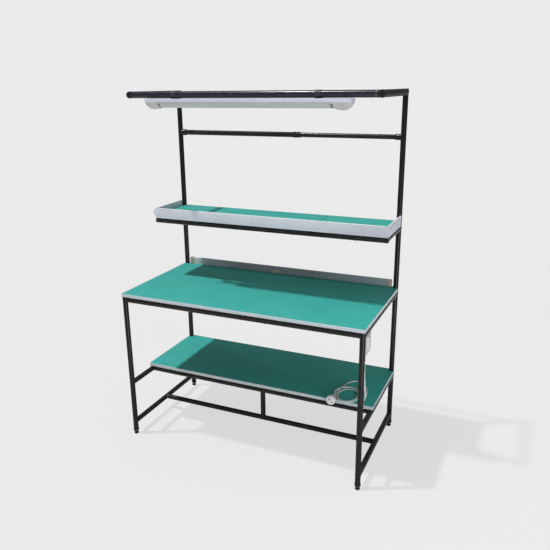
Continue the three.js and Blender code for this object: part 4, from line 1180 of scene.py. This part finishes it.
# plug; rim: small steps from the face's edge; pins: radius, length, place on the face
plugSet = sizeDict(
    x=0.408, z=0.3249, face=-0.1453, diameter=0.043, length=0.026, rounding=0.010, roundSteps=8, sides=64,
    faceSink=0.0006, rim=[(0.0006, -0.0062), (0, -0.0056), (0, -0.0015), (0.0004, -0.0005), (0.0014, 0),
                          (0.0070, 0), (0.0074, -0.0004), (0.0080, -0.0004), (0.0084, 0)],
    relief=0.022, reliefWide=0.013, reliefTip=0.009, ribs=5, neck=[(0.0001, 0.0006), (0.0006, 0)],
    ribStart=0.001, ribEnd=0.001, ribShape=[(0.1, 0), (0.55, 0), (0.65, -0.0008), (0.92, -0.0008)],
    tipEdge=[(-0.0004, 0), (0, -0.0004)], mouth=[(0, 0.0036), (-0.002, 0.0034), (-0.002, 0)],
    pins=[(0.0025, 0.015, -0.0095, -0.00475), (0.0025, 0.015, 0.0095, -0.00475), (0.0035, 0.020, 0, 0.011)],
    pinSink=0.002, pinTip=[(-0.0016, 0), (-0.0006, -0.0004), (0, -0.0011)], pinSides=24)


def makePlug():
    p = plugSet
    r, back, bend = p.diameter / 2, p.length, p.rounding
    wide, tip, end = p.reliefWide / 2, p.reliefTip / 2, p.length + p.relief
    profile = profileOf((p.faceSink, 0), (0, r, p.rim))
    profile += arcPoints((back - bend, r - bend), (bend, bend), 90, -90, p.roundSteps)
    profile += profileOf((back, wide, p.neck))
    pitch = (p.relief - p.ribStart - p.ribEnd) / p.ribs
    profile += ribProfile(back + p.ribStart, pitch, p.ribs, wide, tip, p.ribShape)
    profile += profileOf((end, tip, p.tipEdge), (end, 0, p.mouth))
    form = turnedForm(profile, (p.x, p.face, p.z), axes["y"], p.sides)
    body = dress("plug", "body", form, "plugWhite", sharp=34)
    form = bmesh.new()
    for radius, length, x, z in p.pins:
        profile = barProfile(-p.pinSink, length, radius, [(0, 0)], p.pinTip)
        turnedForm(profile, (p.x + x, p.face, p.z + z), (0, -1, 0), p.pinSides, form=form)
    return body, dress("plug", "pins", form, "plugBrass")


plugPieces = makePlug()
print("plug made")

# screws: where they are and the diameters of their heads; rings of a head of diameter 1: radius, height
screwSet = sizeDict(
    strap=0.0026, strapApart=0.0165, plate=0.0060, plateApart=0.0345, rail=0.0070, railSink=0.0002,
    railPlaces=(-0.45, -0.15, 0.15, 0.45), sides=16,
    rings=((0.5, -0.10), (0.5, 0.10), (0.43, 0.26), (0.30, 0.34)),
    arm=0.22, slot=0.055, slotTop=0.36, slotFloor=0.12, slotTaper=0.7, seed=7)


# place, facing, head diameter
def findScrewPlaces():
    s, lamp, b, t = screwSet, lampSet, boxSet, tubeSet
    places = []
    for sign in (-1, 1):
        strapX = lamp.shift + sign * (lamp.half - strapSet.setback)
        for way in (-1, 1):  # on the straps' soles
            sole = (strapX, lamp.y + way * s.strapApart, lamp.top + lamp.gap + strapSet.sole)
            places.append((sole, (0, 0, 1), s.strap))
        places.append(((b.plateFront, b.y, b.z + sign * s.plateApart), (1, 0, 0), s.plate))
    low = t.diameter / 2 - s.railSink
    bars = ((-t.legY, t.rail), (t.legY, t.rail), (t.shelfBarFront, t.shelf), (t.legY, t.shelf),
            (t.trayBarY, t.tray), (t.legY, t.tray))
    for x in s.railPlaces:  # through the rails into the boards, from below
        places += [((x, y, z - low), (0, 0, -1), s.rail) for y, z in bars]
    return places


# a pan head with a cross recess, facing +Z
def screwHead():
    s = screwSet
    form = bmesh.new()
    n, arm, wide = s.sides, s.arm, s.slot
    turns = [2 * math.pi * i / n for i in range(n)]
    rings = [[form.verts.new((radius * math.cos(a), radius * math.sin(a), height)) for a in turns]
             for radius, height in s.rings]
    skinRings(form, rings)
    form.faces.new(rings[0][::-1])
    cross = [(arm, -wide), (arm, wide), (wide, wide), (wide, arm), (-wide, arm), (-wide, wide), (-arm, wide),
             (-arm, -wide), (-wide, -wide), (-wide, -arm), (wide, -arm), (wide, -wide)]
    high = [form.verts.new((x, y, s.slotTop)) for x, y in cross]
    low = [form.verts.new((x * s.slotTaper, y * s.slotTaper, s.slotFloor)) for x, y in cross]
    skinRings(form, [high, low])
    form.faces.new(low)
    edges = [form.edges.get((ring[i - 1], ring[i])) for ring in (rings[-1], high) for i in range(len(ring))]
    bmesh.ops.bridge_loops(form, edges=edges)
    bmesh.ops.recalc_face_normals(form, faces=form.faces)
    return addObject("screwHead", meshOf("screwHead", form))


def screwTree():
    tree, given = geometryTree("screwHeads", {"Head": "Object"})
    head = wire(tree, "GeometryNodeObjectInfo", {"Object": given["Head"]}, "Geometry")
    facing = wire(tree, "GeometryNodeInputNamedAttribute", {"Name": "facing"}, data_type="FLOAT_VECTOR")
    width = wire(tree, "GeometryNodeInputNamedAttribute", {"Name": "width"}, data_type="FLOAT")
    turned = wire(tree, "FunctionNodeAlignRotationToVector", {"Vector": facing}, axis="Z")
    spin = wire(tree, "FunctionNodeRandomValue", {2: 0.0, 3: math.pi, "Seed": screwSet.seed}, 1,
                data_type="FLOAT")
    euler = wire(tree, "FunctionNodeEulerToRotation", {0: wire(tree, "ShaderNodeCombineXYZ", {"Z": spin})})
    rotated = wire(tree, "FunctionNodeRotateRotation", {"Rotation": turned, "Rotate By": euler},
                   rotation_space="LOCAL")
    copies = wire(tree, "GeometryNodeInstanceOnPoints",
                  {"Points": given["Geometry"], "Instance": head, "Rotation": rotated, "Scale": width})
    return endTree(tree, given, copies)


def makeScrews(places):
    points = bpy.data.meshes.new("screwPoints")
    points.from_pydata([place for place, _, _ in places], [], [])
    facings = [c for _, facing, _ in places for c in facing]
    widths = [width for _, _, width in places]
    points.attributes.new("facing", "FLOAT_VECTOR", "POINT").data.foreach_set("vector", facings)
    points.attributes.new("width", "FLOAT", "POINT").data.foreach_set("value", widths)
    head = screwHead()
    made = runTree(screwTree(), points, {"Head": head, "Finish": materials["screwSteel"]})
    bpy.data.objects.remove(head)
    dress("screw", "heads", made, "screwSteel", sharp=30)
    print("screws set:", len(places))


makeScrews(findScrewPlaces())

# floor and light; metres, but the sun's width in degrees
studioSet = sizeDict(
    backdrop=0.83, floor=0.80, floorRadius=14, fadeFrom=2.2, fadeTo=6.0, plainShare=0.78,
    grain={"Scale": 300, "Detail": 2, "Contrast": 0.8}, grainDark=0.99, sunAway=5, horizon=0.07, zenith=0.46,
    gloss=0.10, sunStrength=2.2, sunAngle=2.4, sunFrom=(-0.395, -0.19, 1.0), fillPower=100, fillSize=2.4,
    fillPlace=(3.8, -3.8, 0.95), aim=(0, 0, 0.85))


def emptyTree(block):
    block.use_nodes = True
    block.node_tree.nodes.clear()
    return block.node_tree


# what the camera rays see is the second
def endByRay(tree, share, first, second, output):
    mixed = wire(tree, "ShaderNodeMixShader", {0: share, 1: first, 2: second})
    addNode(tree, output, {0: mixed})


# the light rises towards the zenith; the camera sees an even backdrop
def makeWorld():
    s = studioSet
    world = bpy.data.worlds.new("studio")
    scene.world = world
    tree = emptyTree(world)
    paths = addNode(tree, "ShaderNodeLightPath").outputs
    way = wire(tree, "ShaderNodeTexCoord", output="Generated")
    sky = remap(tree, wire(tree, "ShaderNodeSeparateXYZ", {0: way}, "Z"), 0.0, 1.0, s.horizon, s.zenith)
    level = maths(tree, "MULTIPLY_ADD", paths["Is Glossy Ray"], s.gloss, sky)
    light = wire(tree, "ShaderNodeBackground", {"Color": (1, 1, 1, 1), "Strength": level})
    shown = wire(tree, "ShaderNodeBackground", {"Color": (*[s.backdrop] * 3, 1)})
    endByRay(tree, paths["Is Camera Ray"], light, shown, "ShaderNodeOutputWorld")


# matt paper near the bench; for the camera it is partly plain backdrop, and wholly so far away
def makeFloor():
    s = studioSet
    form = bmesh.new()
    bmesh.ops.create_circle(form, cap_ends=True, segments=96, radius=s.floorRadius)
    floor = addObject("floor", meshOf("floor", form))
    material = bpy.data.materials.new("floorPaper")
    tree = emptyTree(material)
    place = wire(tree, "ShaderNodeTexCoord", output="Object")
    far = wire(tree, "ShaderNodeVectorMath", {0: place}, "Value", operation="LENGTH")
    fade = remap(tree, far, s.fadeFrom, s.fadeTo, s.plainShare, interpolation_type="SMOOTHSTEP")
    share = maths(tree, "MULTIPLY", fade, wire(tree, "ShaderNodeLightPath", output="Is Camera Ray"))
    grain = useMask(tree, patches, place, **s.grain)
    colour = blendColour(tree, grain, (s.floor * s.grainDark,) * 3, (s.floor,) * 3)
    matt = wire(tree, "ShaderNodeBsdfDiffuse", {"Color": colour})
    plain = wire(tree, "ShaderNodeEmission", {"Color": (*[s.backdrop] * 3, 1)})
    endByRay(tree, share, matt, plain, "ShaderNodeOutputMaterial")
    floor.data.materials.append(material)


def addLamp(name, kind, place, power, **settings):
    light = bpy.data.lights.new(name, kind)
    light.energy = power
    for key, value in settings.items():
        setattr(light, key, value)
    lamp = addObject(name, light)
    lamp.location = place
    lamp.rotation_euler = (Vector(studioSet.aim) - Vector(place)).to_track_quat("-Z", "Y").to_euler()


makeWorld()
makeFloor()
addLamp("sun", "SUN", Vector(studioSet.aim) + Vector(studioSet.sunFrom) * studioSet.sunAway,
        studioSet.sunStrength, angle=math.radians(studioSet.sunAngle))
addLamp("fillLight", "AREA", studioSet.fillPlace, studioSet.fillPower, shape="DISK", size=studioSet.fillSize)
scene.view_settings.view_transform = "Standard"
print("studio set")
